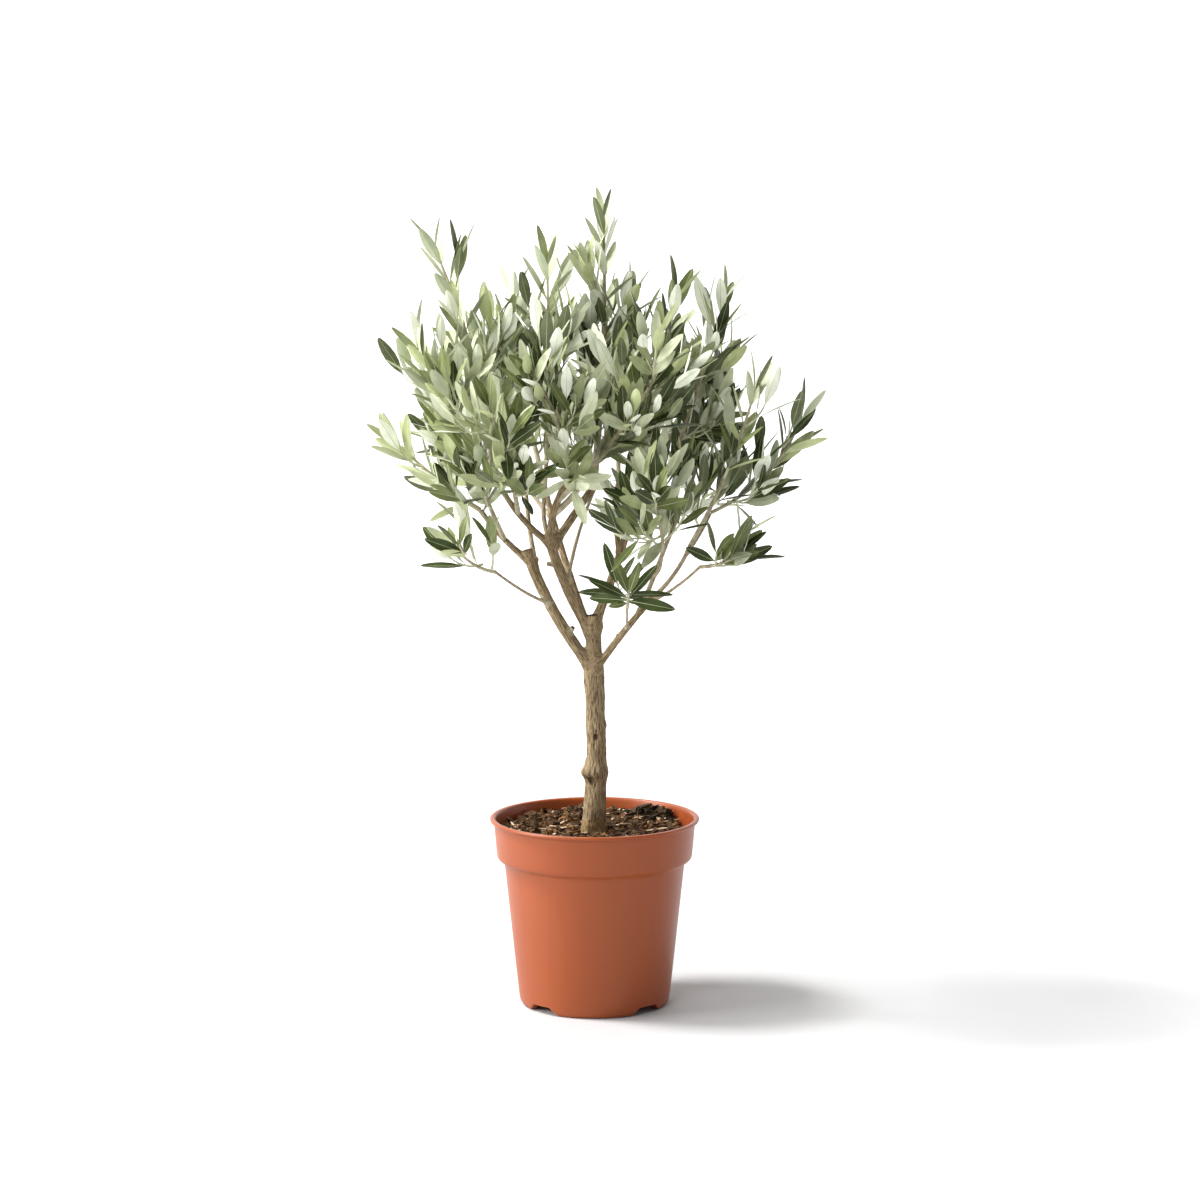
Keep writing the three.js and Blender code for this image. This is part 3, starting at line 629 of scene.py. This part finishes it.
def bark_mesh():
    """The trunk, limbs and nubs in one skin, and the paths that its relief follows."""
    vertices, faces, samples = [], [], []

    def add(points, rings, sides):
        start = sum(len(v) for v in vertices)
        vertices.append(points)
        faces.extend(ring_faces(rings, sides, start))

    add(*trunk_points())
    trunk = resample(trunk_path, SKIN.step)
    samples.append((trunk, trunk_radius(trunk[:, 2])))
    for name, parent, at, tip, bow, radii in LIMBS:
        path = resample(limb_paths[name], SKIN.step)
        radius = limb_radii(radii, path)
        samples.append((path, radius))
        add(tube(path, radius, SKIN.limb_sides), len(path), SKIN.limb_sides)
    rings, sides = SKIN.nub_rings, SKIN.nub_sides
    for limb, share, turn, length, radius, is_cut in NUBS:
        root, along = place_on(limb_paths[limb], share)
        lean = SKIN.cut_lean if is_cut else SKIN.knot_lean
        out = unit(outward(along, turn) + along * lean)
        inside = limb_radii_ends.get(limb, (SKIN.trunk_radius,))[0]
        path = root + out * np.linspace(0, inside + length, rings)[:, None]
        add(tube(path, np.full(rings, radius), sides), rings, sides)
        if is_cut:
            samples.append((path[rings // 2:], np.full(rings // 2, radius)))
    raw = add_mesh("bark_raw", np.concatenate(vertices), faces, [])
    remesh = raw.modifiers.new("join", "REMESH")
    remesh.mode = "VOXEL"
    remesh.voxel_size = SKIN.voxel * MM
    joined = raw.evaluated_get(bpy.context.evaluated_depsgraph_get()).to_mesh()
    soft = bmesh.new()
    soft.from_mesh(joined)
    for _ in range(SKIN.smoothings):
        bmesh.ops.smooth_vert(soft, verts=soft.verts, factor=SKIN.smooth_by,
                              use_axis_x=True, use_axis_y=True, use_axis_z=True)
    mesh = bpy.data.meshes.new("trunk_and_boughs")
    bmesh.ops.recalc_face_normals(soft, faces=soft.faces)
    soft.to_mesh(mesh)
    soft.free()
    bpy.data.objects.remove(raw)
    return mesh, samples


def sample_table(samples):
    """Columns of centres, tangents, sides, tops, radii, travel and whether at an end."""
    rows = []
    for number, (path, radii) in enumerate(samples):
        travel = np.linspace(0, length_of(path), len(path)) + GRAIN_APART * number
        at_end = np.arange(len(path)) == len(path) - 1
        rows.append((path, *tube_frames(path), radii, travel, at_end))
    return [np.concatenate(column) for column in zip(*rows)]


def nearest(centres, places):
    """The row of the centre that is nearest to each place."""
    tree = KDTree(len(centres))
    for row, point in enumerate(centres):
        tree.insert(point, row)
    tree.balance()
    return np.array([tree.find(place)[1] for place in places])


def relief(mesh, samples):
    """Fissured bark: each point moves along its normal, by noise drawn out along its limb.

    It returns each face's finish: 0 bark, 1 cut or hollow (the hollows dark as painted shade), 2 young
    bark, 3 damp bark.
    """
    centre, tangent, side, top, radius, travel, at_end = sample_table(samples)
    places = np.array([point.co for point in mesh.vertices]) / MM
    normals = np.array([point.normal for point in mesh.vertices])
    near = nearest(centre, places)
    offset = places - centre[near]
    onward = (offset * tangent[near]).sum(1)
    around = np.stack([(offset * side[near]).sum(1), (offset * top[near]).sum(1)], axis=1)
    around *= (radius[near] / np.maximum(np.linalg.norm(around, axis=1), 0.3))[:, None]
    bark = np.column_stack([around, travel[near] + onward])
    fissure = 1 - np.abs(2 * noise(bark * FISSURE.grain, 1) - 1)
    scales = noise(bark * SCALES.grain, 2)
    lumps = noise(bark * LUMPS.grain, 3)
    depth = np.clip(DEPTH.share * radius[near], DEPTH.least, DEPTH.most)
    move = depth * (LUMPS.much * (lumps - 0.5) + SCALES.much * (scales - 0.5)
                    - FISSURE.much * fissure ** FISSURE.sharp)
    facing = (normals * tangent[near]).sum(1)
    is_cut = at_end[near] & (onward > -SAW_CUT.within) & (facing > SAW_CUT.facing)
    move = np.where(is_cut, -SAW_CUT.sunk, move)
    places += normals * move[:, None]
    # each hollow is sunk a little and its ragged middle takes the dark cut finish: painted shade
    for share, turn, out, wide, deep in HOLLOWS:
        root, along = place_on(trunk_path, share)
        direction = outward(along, turn)
        off = places - (root + direction * out)
        off -= np.outer(HOLLOW.drawn_out * off @ along, along)
        distance = np.linalg.norm(off, axis=1)
        places -= direction * (deep * np.exp(-(distance / wide) ** 2))[:, None]
        is_cut |= distance < wide * (HOLLOW.least + HOLLOW.ragged * scales)
    mesh.vertices.foreach_set("co", (places * MM).ravel())
    stored = mesh.attributes.new("bark", "FLOAT_VECTOR", "POINT")
    stored.data.foreach_set("vector", (bark * (1, 1, 0.25)).astype(np.float32).ravel())
    first = np.array([face.vertices[0] for face in mesh.polygons])
    young = radius[near[first]] < YOUNG
    damp = places[first, 2] < DAMP.height + DAMP.ragged * lumps[first]
    index = np.select([is_cut[first], young, damp], [1, 2, 3], 0)
    return index.astype(np.int32)


bark, bark_samples = bark_mesh()
bark_index = relief(bark, bark_samples)
for finish in (bark_finish, cut_and_hollow_shade_finish, young_bark_finish, damp_bark_finish):
    bark.materials.append(finish)
bark.polygons.foreach_set("material_index", bark_index)
bark.polygons.foreach_set("use_smooth", [True] * len(bark.polygons))
bark.update()
limbs_piece = add_object("trunk_and_boughs", bark)
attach(limbs_piece, BODY)
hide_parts("trunk", *[row[0] for row in LIMBS])

# ---- twigs and leaves

LEAF = Table(
    length=41.5, width=10.4, thickness=0.5, pitch=20, below=1.0,
    tip_lean=24, root_lean=46, shade_lean=32, pairs=5, lean_vary=26,
    lift=0.18, end_size=0.88, size_vary=0.16, fallen=0.26, missing=0.06,
    quarter=0.5, loose=0.4, roll=0.5, bend=0.16, unbent=0.42, clear=1.5,
    shorter=0.8, slim=0.7, least_width=0.88, width_vary=0.24,
    first_pitch=0.72, next_pitch=0.14, pitch_pairs=3,
)
# The wheel of leaves, whose pairs open out from a stem's end that has turned upwards
WHEEL_LEAF = Table(
    pairs=4, pitch=5.5, below=3, turn_up=0.3, spin=0.3, first_lean=24,
    next_lean=36, size=1.02, last_size=0.45,
)
# shares of the leaf's length, and how wide it is there
LEAF_OUTLINE = [
    (0.0, 0.11), (0.07, 0.16), (0.18, 0.50), (0.32, 0.85), (0.49, 1.0), (0.67, 0.92),
    (0.83, 0.66), (0.94, 0.38),
]
# the leaf's skin: midrib, how thin the edge is, and how far the two halves fold up
RIB = Table(share=0.045, to_tip=1.3, least=0.12, most=0.6)
LEAF_EDGE = 0.35
LEAF_FOLD = 0.2
TWIGLET = Table(
    places=(0.2, 0.4, 0.62), length=32, lean=42, vary=0.3, clear=2,
    free_from=6, radii=(0.85, 0.5), bare=0.2, least_shoot=36,
)

# How often each upper and under colour falls in a spray, in the light and in shade: painted light and
# painted shade
BRIGHT = np.array([(0.02, 0.10, 0.26, 0.62), (0.04, 0.08, 0.74, 0.14)])
SHADED = np.array([(0.75, 0.16, 0.04, 0.05), (0.48, 0.21, 0.22, 0.09)])
# the crown, and how the light on it falls off to the right, downwards and inside, where the leaves take
# darker shades as painted shade
CROWN = Table(middle=np.array([0.0, 10, 545]), reach=np.array([200.0, 165, 190]), shell=0.62)
LIGHT = Table(at_middle=0.62, right=360, height=530, up=330, inside=1.1)
# how often a spray's shade, a leaf's upper shade and its underside are out of turn
ODD = Table(spray=0.25, upper=0.5, under=0.35)


def pick(weights, luck):
    """A row of the weights, for a luck from 0 to 1."""
    return int(min(len(weights) - 1, np.searchsorted(np.cumsum(weights), luck * sum(weights))))


def brightness(place):
    """How much light a place gets, from 0 to 1: it paints the leaves there lighter or darker, and sets
    how far they lean.
    """
    inside = max(0, CROWN.shell - np.linalg.norm((place - CROWN.middle) / CROWN.reach))
    light = LIGHT.at_middle - place[0] / LIGHT.right
    light += (place[2] - LIGHT.height) / LIGHT.up - LIGHT.inside * inside
    return float(np.clip(light, 0, 1))


def spray_colours(tip, keys):
    """The upper and the under colour that a twig's leaves share, paler where more light falls: painted
    light and painted shade.
    """
    bright = brightness(tip)
    if bright < 1 and chance(*keys, 31) < ODD.spray:
        bright = chance(*keys, 32)
    upper, under = bright * BRIGHT + (1 - bright) * SHADED
    return pick(upper, chance(*keys, 33)), pick(under, chance(*keys, 34))


def leaf_colours(upper, under, keys):
    """A leaf's own colours: now and then another shade or underside."""
    if chance(*keys, 11) < ODD.upper:
        upper = min(len(UPPER) - 1, max(0, upper + (1 if chance(*keys, 12) < 0.5 else -1)))
    if chance(*keys, 13) < ODD.under:
        under = pick((1, 1, 1, 1), chance(*keys, 14))
    return upper, under


LOW, HIGH = (np.array(corner) / MM for corner in cad_box)


def in_reach(point):
    """Whether a point is in the box of the solids."""
    return bool(np.all(point >= LOW) and np.all(point <= HIGH))


def mass_twigs(number):
    """A mass's stem, shoots and twiglets: path, foot radius, tip radius, bare share."""
    name, limb, at, tip, bow, shoots, spread, bare = MASSES[number]
    foot = max(STEM.least, limb_radii_ends[limb][1] * STEM.share) * STEM.slim
    twigs = [(stem_paths[number], foot, STEM.tip, bare)]
    for turn, (shoot, share) in enumerate(grow_shoots(number)):
        twigs.append((shoot, *SHOOT.radii, SHOOT.bare))
        if length_of(shoot) < TWIGLET.least_shoot:
            continue
        for side, place in enumerate(TWIGLET.places):
            size = TWIGLET.length * varied(TWIGLET.vary, chance(number, turn, side, 41))
            angle = GOLDEN_ANGLE * side + 2 * math.pi * chance(number, turn, side, 42)
            fine = shoot_path(shoot, place, angle, size, TWIGLET.lean)
            outer = fine[TWIGLET.free_from:]
            if clears_limbs(fine, TWIGLET.clear) and is_free(number, outer):
                twigs.append((fine, *TWIGLET.radii, TWIGLET.bare))
    return twigs


def leaf_turns(number, order, pair, along, widest):
    """Which way a pair of leaves points: its direction, spin and lean."""
    loose = LEAF.loose * (chance(number, order, pair, 4) - 0.5)
    if MASSES[number][0] == WHEEL:
        along = unit(UP + along * WHEEL_LEAF.turn_up)
        spin = WHEEL_LEAF.spin * (-1) ** pair + loose
        return along, spin, WHEEL_LEAF.first_lean + WHEEL_LEAF.next_lean * min(pair, 2)
    quarter = math.pi / 2 * math.floor(4 * chance(number, order, 3))
    if order == 0:
        quarter = LEAF.quarter
    share = min(1, pair / LEAF.pairs)
    lean = LEAF.tip_lean + (widest - LEAF.tip_lean) * share
    return along, quarter + math.pi / 2 * pair + loose, lean


def leaf_size(keys, pair, wheel):
    """A leaf's length. The pair at a twig's end is smaller."""
    size = LEAF.length * (LEAF.end_size if pair == 0 else 1)
    size *= varied(LEAF.size_vary, chance(*keys, 7))
    if wheel:
        size *= WHEEL_LEAF.last_size if pair == WHEEL_LEAF.pairs - 1 else WHEEL_LEAF.size
    return size


def leaves_on(number, order, path, bare):
    """Leaves in pairs along a twig, each square to the pair before it."""
    wheel = MASSES[number][0] == WHEEL
    length = length_of(path)
    habit = WHEEL_LEAF if wheel else LEAF
    widest = LEAF.root_lean + LEAF.shade_lean * (1 - brightness(path[-1]))
    if order == 0 and not wheel:
        bare = max(bare, LEAF.fallen)
    found = []
    spent = habit.below
    pair = 0
    colours = spray_colours(path[-1], (number, order))
    while spent < length * (1 - bare) and not (wheel and pair == WHEEL_LEAF.pairs):
        root, onward = place_on(path, 1 - spent / length)
        along, spin, wide = leaf_turns(number, order, pair, onward, widest)
        side, top = across(along)
        for half in (0, 1):
            keys = (number, order, pair, half)
            if pair > 1 and not wheel and chance(*keys, 5) < LEAF.missing:
                continue
            lean = math.radians(wide + LEAF.lean_vary * (chance(*keys, 6) - 0.5))
            size = leaf_size(keys, pair, wheel)
            out = around(side, top, spin + math.pi * half)
            way = unit(around(along, out, lean) + UP * LEAF.lift)
            edge = unit(np.cross(way, onward))
            face = np.cross(edge, way)
            roll = LEAF.roll * (chance(*keys, 8) - 0.5)
            edge, face = around(edge, face, roll), around(face, -edge, roll)
            bend = LEAF.bend * (chance(*keys, 9) - LEAF.unbent)
            middle = root + way * size * 0.55
            tip = root + way * size - face * bend * size
            if not in_reach(tip):
                size *= LEAF.shorter
                tip = root + way * size - face * bend * size
            if not clears_limbs(np.array([middle, tip]), LEAF.clear) or not in_reach(tip):
                continue
            width = LEAF.width * (size / LEAF.length) ** LEAF.slim
            width *= LEAF.least_width + LEAF.width_vary * chance(*keys, 10)
            shades = leaf_colours(*colours, keys)
            found.append((root, way, edge, face, size, width, bend, *shades))
        closer = LEAF.first_pitch + LEAF.next_pitch * min(pair, LEAF.pitch_pairs)
        spent += habit.pitch * (1 if wheel else closer)
        pair += 1
    return found


def leaf_vertices(leaf):
    """Rings of six points round a thin folded leaf, and its tip."""
    root, way, edge, face, size, width, bend, upper, under = leaf
    rows = []
    for share, wide in LEAF_OUTLINE:
        centre = root + way * (size * share) - face * (bend * size * share ** 2)
        half = wide * width / 2
        thick = LEAF.thickness * (LEAF_EDGE + (1 - LEAF_EDGE) * wide) / 2
        rib = max(RIB.share * width / 2 * (RIB.to_tip - share), RIB.least)
        rib = min(rib, half * RIB.most)
        fold = LEAF_FOLD * half
        for off, rise in ((-half, fold), (-rib, thick), (rib, thick), (half, fold),
                          (rib, -thick), (-rib, -thick)):
            rows.append(centre + edge * off + face * rise)
    rows.append(root + way * size - face * (bend * size))
    return rows


def leaf_faces():
    """The faces of one leaf: its sides, ring by ring up to the tip, and its foot."""
    tip = 6 * len(LEAF_OUTLINE)
    faces = []
    for ring in range(0, tip, 6):
        for side in range(6):
            here, after = ring + side, ring + (side + 1) % 6
            is_last = ring + 6 == tip
            faces.append((here, tip, after) if is_last else (here, here + 6, after + 6, after))
    return faces + [(0, 1, 2, 3, 4, 5)]


LEAF_FACES = leaf_faces()
LEAF_KINDS = ("upper", "rib", "upper", "under", "rib", "under") * len(LEAF_OUTLINE) + ("under",)
LEAF_POINTS = len(LEAF_OUTLINE) * 6 + 1
TWIG_STEP = 6

twig_parts = [[], []]
leaves = []
for number in range(len(MASSES)):
    for order, (path, foot, tip, bare) in enumerate(mass_twigs(number)):
        twig_parts[0 if order == 0 else 1].append((resample(path, TWIG_STEP), foot, tip))
        leaves += leaves_on(number, order, path, bare)

leaf_points = np.array([leaf_vertices(leaf) for leaf in leaves])
leaf_table = []
leaf_index = []
for row, leaf in enumerate(leaves):
    start = row * LEAF_POINTS
    leaf_table += [tuple(start + corner for corner in face) for face in LEAF_FACES]
    finish_of = {"upper": leaf[7], "under": FIRST_UNDER + leaf[8], "rib": MIDRIB}
    leaf_index += [finish_of[kind] for kind in LEAF_KINDS]
leaves_piece = add_mesh(
    "leaves", leaf_points.reshape(-1, 3), leaf_table, leaf_finishes, leaf_index, sharp=60)
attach(leaves_piece, BODY)
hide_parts(*[row[0] + "_leaves" for row in MASSES])

for name, parts, finish, sides in (("stems", twig_parts[0], twig_finishes[0], 8),
                                   ("shoots", twig_parts[1], twig_finishes[1], 6)):
    vertices, faces = [], []
    for path, foot, tip in parts:
        start = sum(len(v) for v in vertices)
        vertices.append(tube(path, np.linspace(foot, tip, len(path)), sides))
        faces += ring_faces(len(path), sides, start)
    piece = add_mesh(name, np.concatenate(vertices), faces, [finish], sharp=60)
    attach(piece, BODY)

# ---- pot

POT_SIDES = 240
POT_SHARP = 50
# radius and height, from the underside's middle round the rim to the middle inside
POT_PROFILE = [
    (0, 6.2), (30, 6.2), (56, 6.2), (58.5, 6.0), (59.8, 3.0), (60.5, 0.5), (61.2, 0),
    (64.6, 0), (65.9, 0.5),
    (67.0, 1.6), (67.8, 3.2), (68.3, 5.2), (68.6, 7.4), (69, 10), (71.2, 30), (73.4, 50), (76.6, 80),
    (79.6, 108), (81.4, 125), (82.0, 129.4), (82.6, 131.0), (84.0, 132.2), (86.6, 133.6), (87.8, 134.6),
    (88.5, 136.0), (88.8, 138.0), (89.6, 146), (90.6, 158), (91.3, 166.2), (91.6, 167.6),
    (92.4, 168.1), (93.9, 168.2), (94.7, 168.8), (95, 169.8), (94.8, 170.7), (94.1, 171.3), (93.2, 171.5),
    (91.6, 171.4), (90.6, 171.0), (90.0, 170.0), (89.5, 168.0), (88.6, 158), (87.6, 146), (86.6, 138),
    (84.5, 134.5), (80.4, 131.6), (79.8, 128), (75, 84), (71.4, 48), (67.6, 13), (66.6, 9.6), (64.6, 8.4),
    (30, 8.4), (0, 8.4),
]
NOTCHES = Table(
    angles=(45, 135, 225, 315), half=15.25, top_half=8.5, height=7.4,
    inner=59, outer=69, top=7.5, wall=64, inset=0.12,
)
OUTER_WALL = POT_PROFILE[6:20]


def notch_height(angle):
    """How far the foot ring is cut away at an angle in degrees."""
    off = min(abs((angle - at + 180) % 360 - 180) for at in NOTCHES.angles)
    slope = (NOTCHES.half - off) / (NOTCHES.half - NOTCHES.top_half)
    return NOTCHES.height * min(1, max(0, slope))


def pot_mesh():
    """The turned pot, its foot ring raised at the notches."""
    radii, heights = zip(*OUTER_WALL)
    vertices = []
    for radius, height in POT_PROFILE:
        in_foot = NOTCHES.inner < radius < NOTCHES.outer
        for side in range(POT_SIDES):
            angle = 360 * side / POT_SIDES
            cut = notch_height(angle)
            wide, high = radius, height
            if in_foot and height < cut and height < NOTCHES.top:
                high = cut
                if radius > NOTCHES.wall:
                    inset = (NOTCHES.outer - radius) * NOTCHES.inset
                    wide = np.interp(cut, heights, radii) - inset
            turn = math.radians(angle)
            vertices.append((wide * math.cos(turn), wide * math.sin(turn), high))
    return vertices, ring_faces(len(POT_PROFILE), POT_SIDES)[:-2]


pot_vertices, pot_faces = pot_mesh()
pot = add_mesh("nursery_pot", pot_vertices, pot_faces, [pot_finish], sharp=POT_SHARP)
clean_up(pot.data, 1e-6)
pot.data.set_sharp_from_angle(angle=math.radians(POT_SHARP))
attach(pot, BODY)
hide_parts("pot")

# ---- compost

SOIL = Table(level=158.0, middle=0.4, rim=87.0, fall=3.0, sides=220, rings=84)
SOIL_WALL = [(87.0, 150), (85.9, 138), (79.4, 130), (66.8, 12), (65.1, 8.7), (0, 8.7)]
# bumps in the compost: size, seed, height
SOIL_BUMPS = [(17, 11, 6.5), (7, 12, 5.0), (3.1, 13, 3.0), (1.4, 14, 1.6)]
# the compost is higher at the back and on the left, with a clod at the right back
HEAP = Table(back=5.5, back_at=62, left=2.5, left_at=75)
CLOD = Table(x=46, y=48, wide=24, deep=9, rise=6.5)
SOIL_EDGE = Table(start=80, over=7, drop=1.6)


def soil_height(x, y):
    """The height of the compost at places across the pot."""
    place = np.column_stack([x, y, np.zeros_like(x)])
    radius = np.hypot(x, y)
    height = SOIL.level - SOIL.fall * (radius / SOIL.rim) ** 2
    for size, seed, rise in SOIL_BUMPS:
        height = height + rise * (noise(place / size, seed) - 0.5)
    height += HEAP.back * np.clip(y / HEAP.back_at, 0, 1)
    height += HEAP.left * np.clip(-x / HEAP.left_at, 0, 1)
    height += CLOD.rise * np.exp(-((x - CLOD.x) / CLOD.wide) ** 2 - ((y - CLOD.y) / CLOD.deep) ** 2)
    return height - SOIL_EDGE.drop * np.clip((radius - SOIL_EDGE.start) / SOIL_EDGE.over, 0, 1)


def soil_mesh():
    """The compost, from its middle to the wall, down it and in under the bottom."""
    radii = np.linspace(SOIL.middle, SOIL.rim, SOIL.rings)
    angles = np.arange(SOIL.sides) * 2 * math.pi / SOIL.sides
    radius, angle = np.meshgrid(radii, angles, indexing="ij")
    x = (radius * np.cos(angle)).ravel()
    y = (radius * np.sin(angle)).ravel()
    top = np.column_stack([x, y, soil_height(x, y)])
    wall = [(r * math.cos(a), r * math.sin(a), h) for r, h in SOIL_WALL for a in angles]
    faces = ring_faces(SOIL.rings + len(SOIL_WALL), SOIL.sides)[:-1]
    faces = [tuple(reversed(face)) for face in faces]
    return np.concatenate([top, np.array(wall)]), faces


soil_vertices, soil_faces = soil_mesh()
soil = add_mesh("compost", soil_vertices, soil_faces, [soil_finish], sharp=70)
clean_up(soil.data, 1e-7)
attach(soil, BODY)
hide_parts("soil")

# Chips and straws: kind, how many, range of length, share of it in width and in thickness
CHIPS = [
    (0, 760, (1.8, 8), 0.6, 0.45),
    (1, 520, (1.8, 7), 0.5, 0.35),
    (2, 95, (2.5, 9), 0.33, 0.2),
    (2, 34, (8, 15), 0.22, 0.07),
    (2, 90, (9, 22), 0.07, 0.05),
    (1, 50, (8, 16), 0.07, 0.06),
]
# where they lie: shares of the rim's radius squared, and room for the trunk
CHIP = Table(nearest=0.02, spread=0.86, trunk=17, moved=12, ragged=0.7, lift=0.25, long=8)
# dark pieces of bark on the clod: size and how much it varies in each direction
CLOD_BARK = Table(
    kind=3, count=60, middle=(46, 46), spread=(44, 16), lift=0.5,
    size=(4, 3, 2), vary=(9, 4, 3), turn=1.4, tilt=0.7, seed=900)
BOX = np.array([(x, y, z) for z in (-1, 1) for y in (-1, 1) for x in (-1, 1)], float)
BOX_FACES = [(0, 2, 3, 1), (4, 5, 7, 6), (0, 1, 5, 4), (2, 6, 7, 3), (0, 4, 6, 2), (1, 3, 7, 5)]


def chip(centre, size, turn, tilt, seed):
    """A broken piece: a box with its corners pushed about."""
    jitter = np.array([[chance(seed, row, axis) - 0.5 for axis in range(3)] for row in range(8)])
    points = (BOX + CHIP.ragged * jitter) * np.array(size) / 2
    points[:, 2] += points[:, 0] * tilt
    x, y, z = points.T
    c, s = math.cos(turn), math.sin(turn)
    return np.column_stack([x * c - y * s, x * s + y * c, z]) + centre


def on_soil(x, y, lift):
    """A place above the compost."""
    return x, y, soil_height(np.array([x]), np.array([y]))[0] + lift


def loose_chip(seed, kind, least, most, wide, thick):
    """One chip or straw anywhere on the compost."""
    radius = SOIL.rim * math.sqrt(CHIP.nearest + CHIP.spread * chance(seed, 1))
    if radius < CHIP.trunk and kind != 0:
        radius += CHIP.moved
    angle = 2 * math.pi * chance(seed, 2)
    length = least + (most - least) * chance(seed, 3) ** 2
    place = on_soil(radius * math.cos(angle), radius * math.sin(angle),
                    CHIP.lift * thick * length + CHIP.lift)
    size = (length, max(0.6, wide * length), max(0.5, thick * length))
    tilt = (0.5 if length > CHIP.long else 1.0) * (chance(seed, 4) - 0.5)
    return chip(place, size, 2 * math.pi * chance(seed, 5), tilt, seed)


def clod_chip(number):
    """One dark piece of bark on the clod."""
    luck = [chance(number, key) for key in range(61, 69)]
    x, y = np.array(CLOD_BARK.middle) + CLOD_BARK.spread * (np.array(luck[:2]) - 0.5)
    size = np.array(CLOD_BARK.size) + CLOD_BARK.vary * np.array(luck[3:6])
    turn = CLOD_BARK.turn * (luck[6] - 0.4)
    tilt = CLOD_BARK.tilt * (luck[7] - 0.5)
    return chip(on_soil(x, y, CLOD_BARK.lift), size, turn, tilt, CLOD_BARK.seed + number)


def chip_pieces():
    """The points, faces and finishes of all the chips."""
    rows = [(kind, *reach, wide, thick) for kind, count, reach, wide, thick in CHIPS
            for _ in range(count)]
    vertices = [loose_chip(seed, *row) for seed, row in enumerate(rows, start=1)]
    vertices += [clod_chip(number) for number in range(CLOD_BARK.count)]
    kinds = [row[0] for row in rows] + [CLOD_BARK.kind] * CLOD_BARK.count
    faces = [tuple(8 * row + corner for corner in face)
             for row in range(len(vertices)) for face in BOX_FACES]
    return np.concatenate(vertices), faces, [kind for kind in kinds for _ in BOX_FACES]


chip_vertices, chip_faces, chip_index = chip_pieces()
chips = add_mesh("compost_chips", chip_vertices, chip_faces, chip_finishes, chip_index)
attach(chips, BODY)

# ---- floor, light and camera

# in metres
FLOOR = Table(wide=9, front=-6, back=3.2, bend=1.4, steps=12, top=7)
# how much the floor glows at a distance, which is little by the pot: painted light that lightens the
# plant's shadow on the floor
PAINTED_FLOOR_GLOW = [(0.0, 0.0), (0.13, 0.01), (0.19, 0.07), (0.3, 0.33), (0.5, 0.38), (3.6, 0.85)]
# the world behind the plant, and as a light on it
WORLD = Table(seen=1.0, lit=0.22)
# name, place, what it points at, size, power, and whether it shows as a highlight
LIGHTS = [
    ("key", (-3.6, 0.35, 5.0), (0, 0, 0.35), 1.5, 570, True),
    ("side", (-3.2, -0.9, 1.2), (0, 0, 0.5), 1.6, 118, True),
    ("rim", (3.0, 0.4, 0.3), (0, 0, 0.2), 0.5, 12, True),
    ("fill", (-2.0, -4.4, 3.6), (0, 0, 0.55), 2.5, 105, False),
]
CAMERA = Table(place=(0.0049, -3.209, 0.821), down=8.0, lens=108, sensor=36, far=50)


def floor_mesh():
    """A pale floor that curves up into a backdrop far behind."""
    bend = FLOOR.bend
    depths = [(FLOOR.front, 0), (FLOOR.back, 0)]
    for step in range(1, FLOOR.steps + 1):
        turn = math.pi / 2 * step / FLOOR.steps
        depths.append((FLOOR.back + bend * math.sin(turn), bend - bend * math.cos(turn)))
    depths.append((FLOOR.back + bend, FLOOR.top))
    vertices = [(x, y, z) for y, z in depths for x in (-FLOOR.wide, FLOOR.wide)]
    faces = [(2 * row, 2 * row + 1, 2 * row + 3, 2 * row + 2) for row in range(len(depths) - 1)]
    return np.array(vertices) / MM, faces


def stage_finish():
    """Matt white, with a glow that hides how the light falls off and lightens the plant's shadow: painted
    light.
    """
    made = procedural(
        "pale floor", (0.52, 0.52, 0.52), (0.50, 0.50, 0.50), 3, 0.7, (0.02, 0.0005))
    tree = made.node_tree
    place = add_node(tree, "TexCoord").outputs["Object"]
    distance = add_node(tree, "VectorMath", Vector=place)
    distance.operation = "LENGTH"
    share = add_node(tree, "Math", Value=distance.outputs["Value"])
    share.operation = "DIVIDE"
    share.inputs[1].default_value = PAINTED_FLOOR_GLOW[-1][0]
    stops = [(metres / PAINTED_FLOOR_GLOW[-1][0], (strength,) * 3) for metres, strength in PAINTED_FLOOR_GLOW]
    feed(tree, tree.nodes["Principled BSDF"], Emission_Color=(1, 1, 1, 1),
         Emission_Strength=add_ramp(tree, share.outputs["Value"], stops))
    return made


floor_vertices, floor_faces = floor_mesh()
floor = add_mesh("floor", floor_vertices, floor_faces, [stage_finish()], sharp=30)

world = bpy.data.worlds.new("studio")
bpy.context.scene.world = world
world.use_nodes = True
# white behind the plant from every side, but dim as a light on it
studio = world.node_tree
ray = add_node(studio, "LightPath").outputs["Is Camera Ray"]
strength = add_node(studio, "MapRange", Value=ray, To_Min=WORLD.lit, To_Max=WORLD.seen)
feed(studio, studio.nodes["Background"], Color=(1, 1, 1, 1), Strength=strength.outputs["Result"])

for name, place, target, size, power, shows in LIGHTS:
    light = bpy.data.lights.new(name, "AREA")
    light.shape = "SQUARE"
    light.size = size
    light.energy = power
    lamp = add_object(name, light)
    lamp.location = place
    aim = Vector(target) - Vector(place)
    lamp.rotation_euler = aim.to_track_quat("-Z", "Y").to_euler()
    lamp.visible_glossy = shows

camera_data = bpy.data.cameras.new("camera")
camera_data.sensor_width = CAMERA.sensor
camera_data.lens = CAMERA.lens
camera_data.clip_end = CAMERA.far
camera = add_object("camera", camera_data)
camera.location = CAMERA.place
camera.rotation_euler = (math.radians(90 - CAMERA.down), 0, 0)
bpy.context.scene.camera = camera
bpy.context.scene.view_settings.view_transform = "Standard"
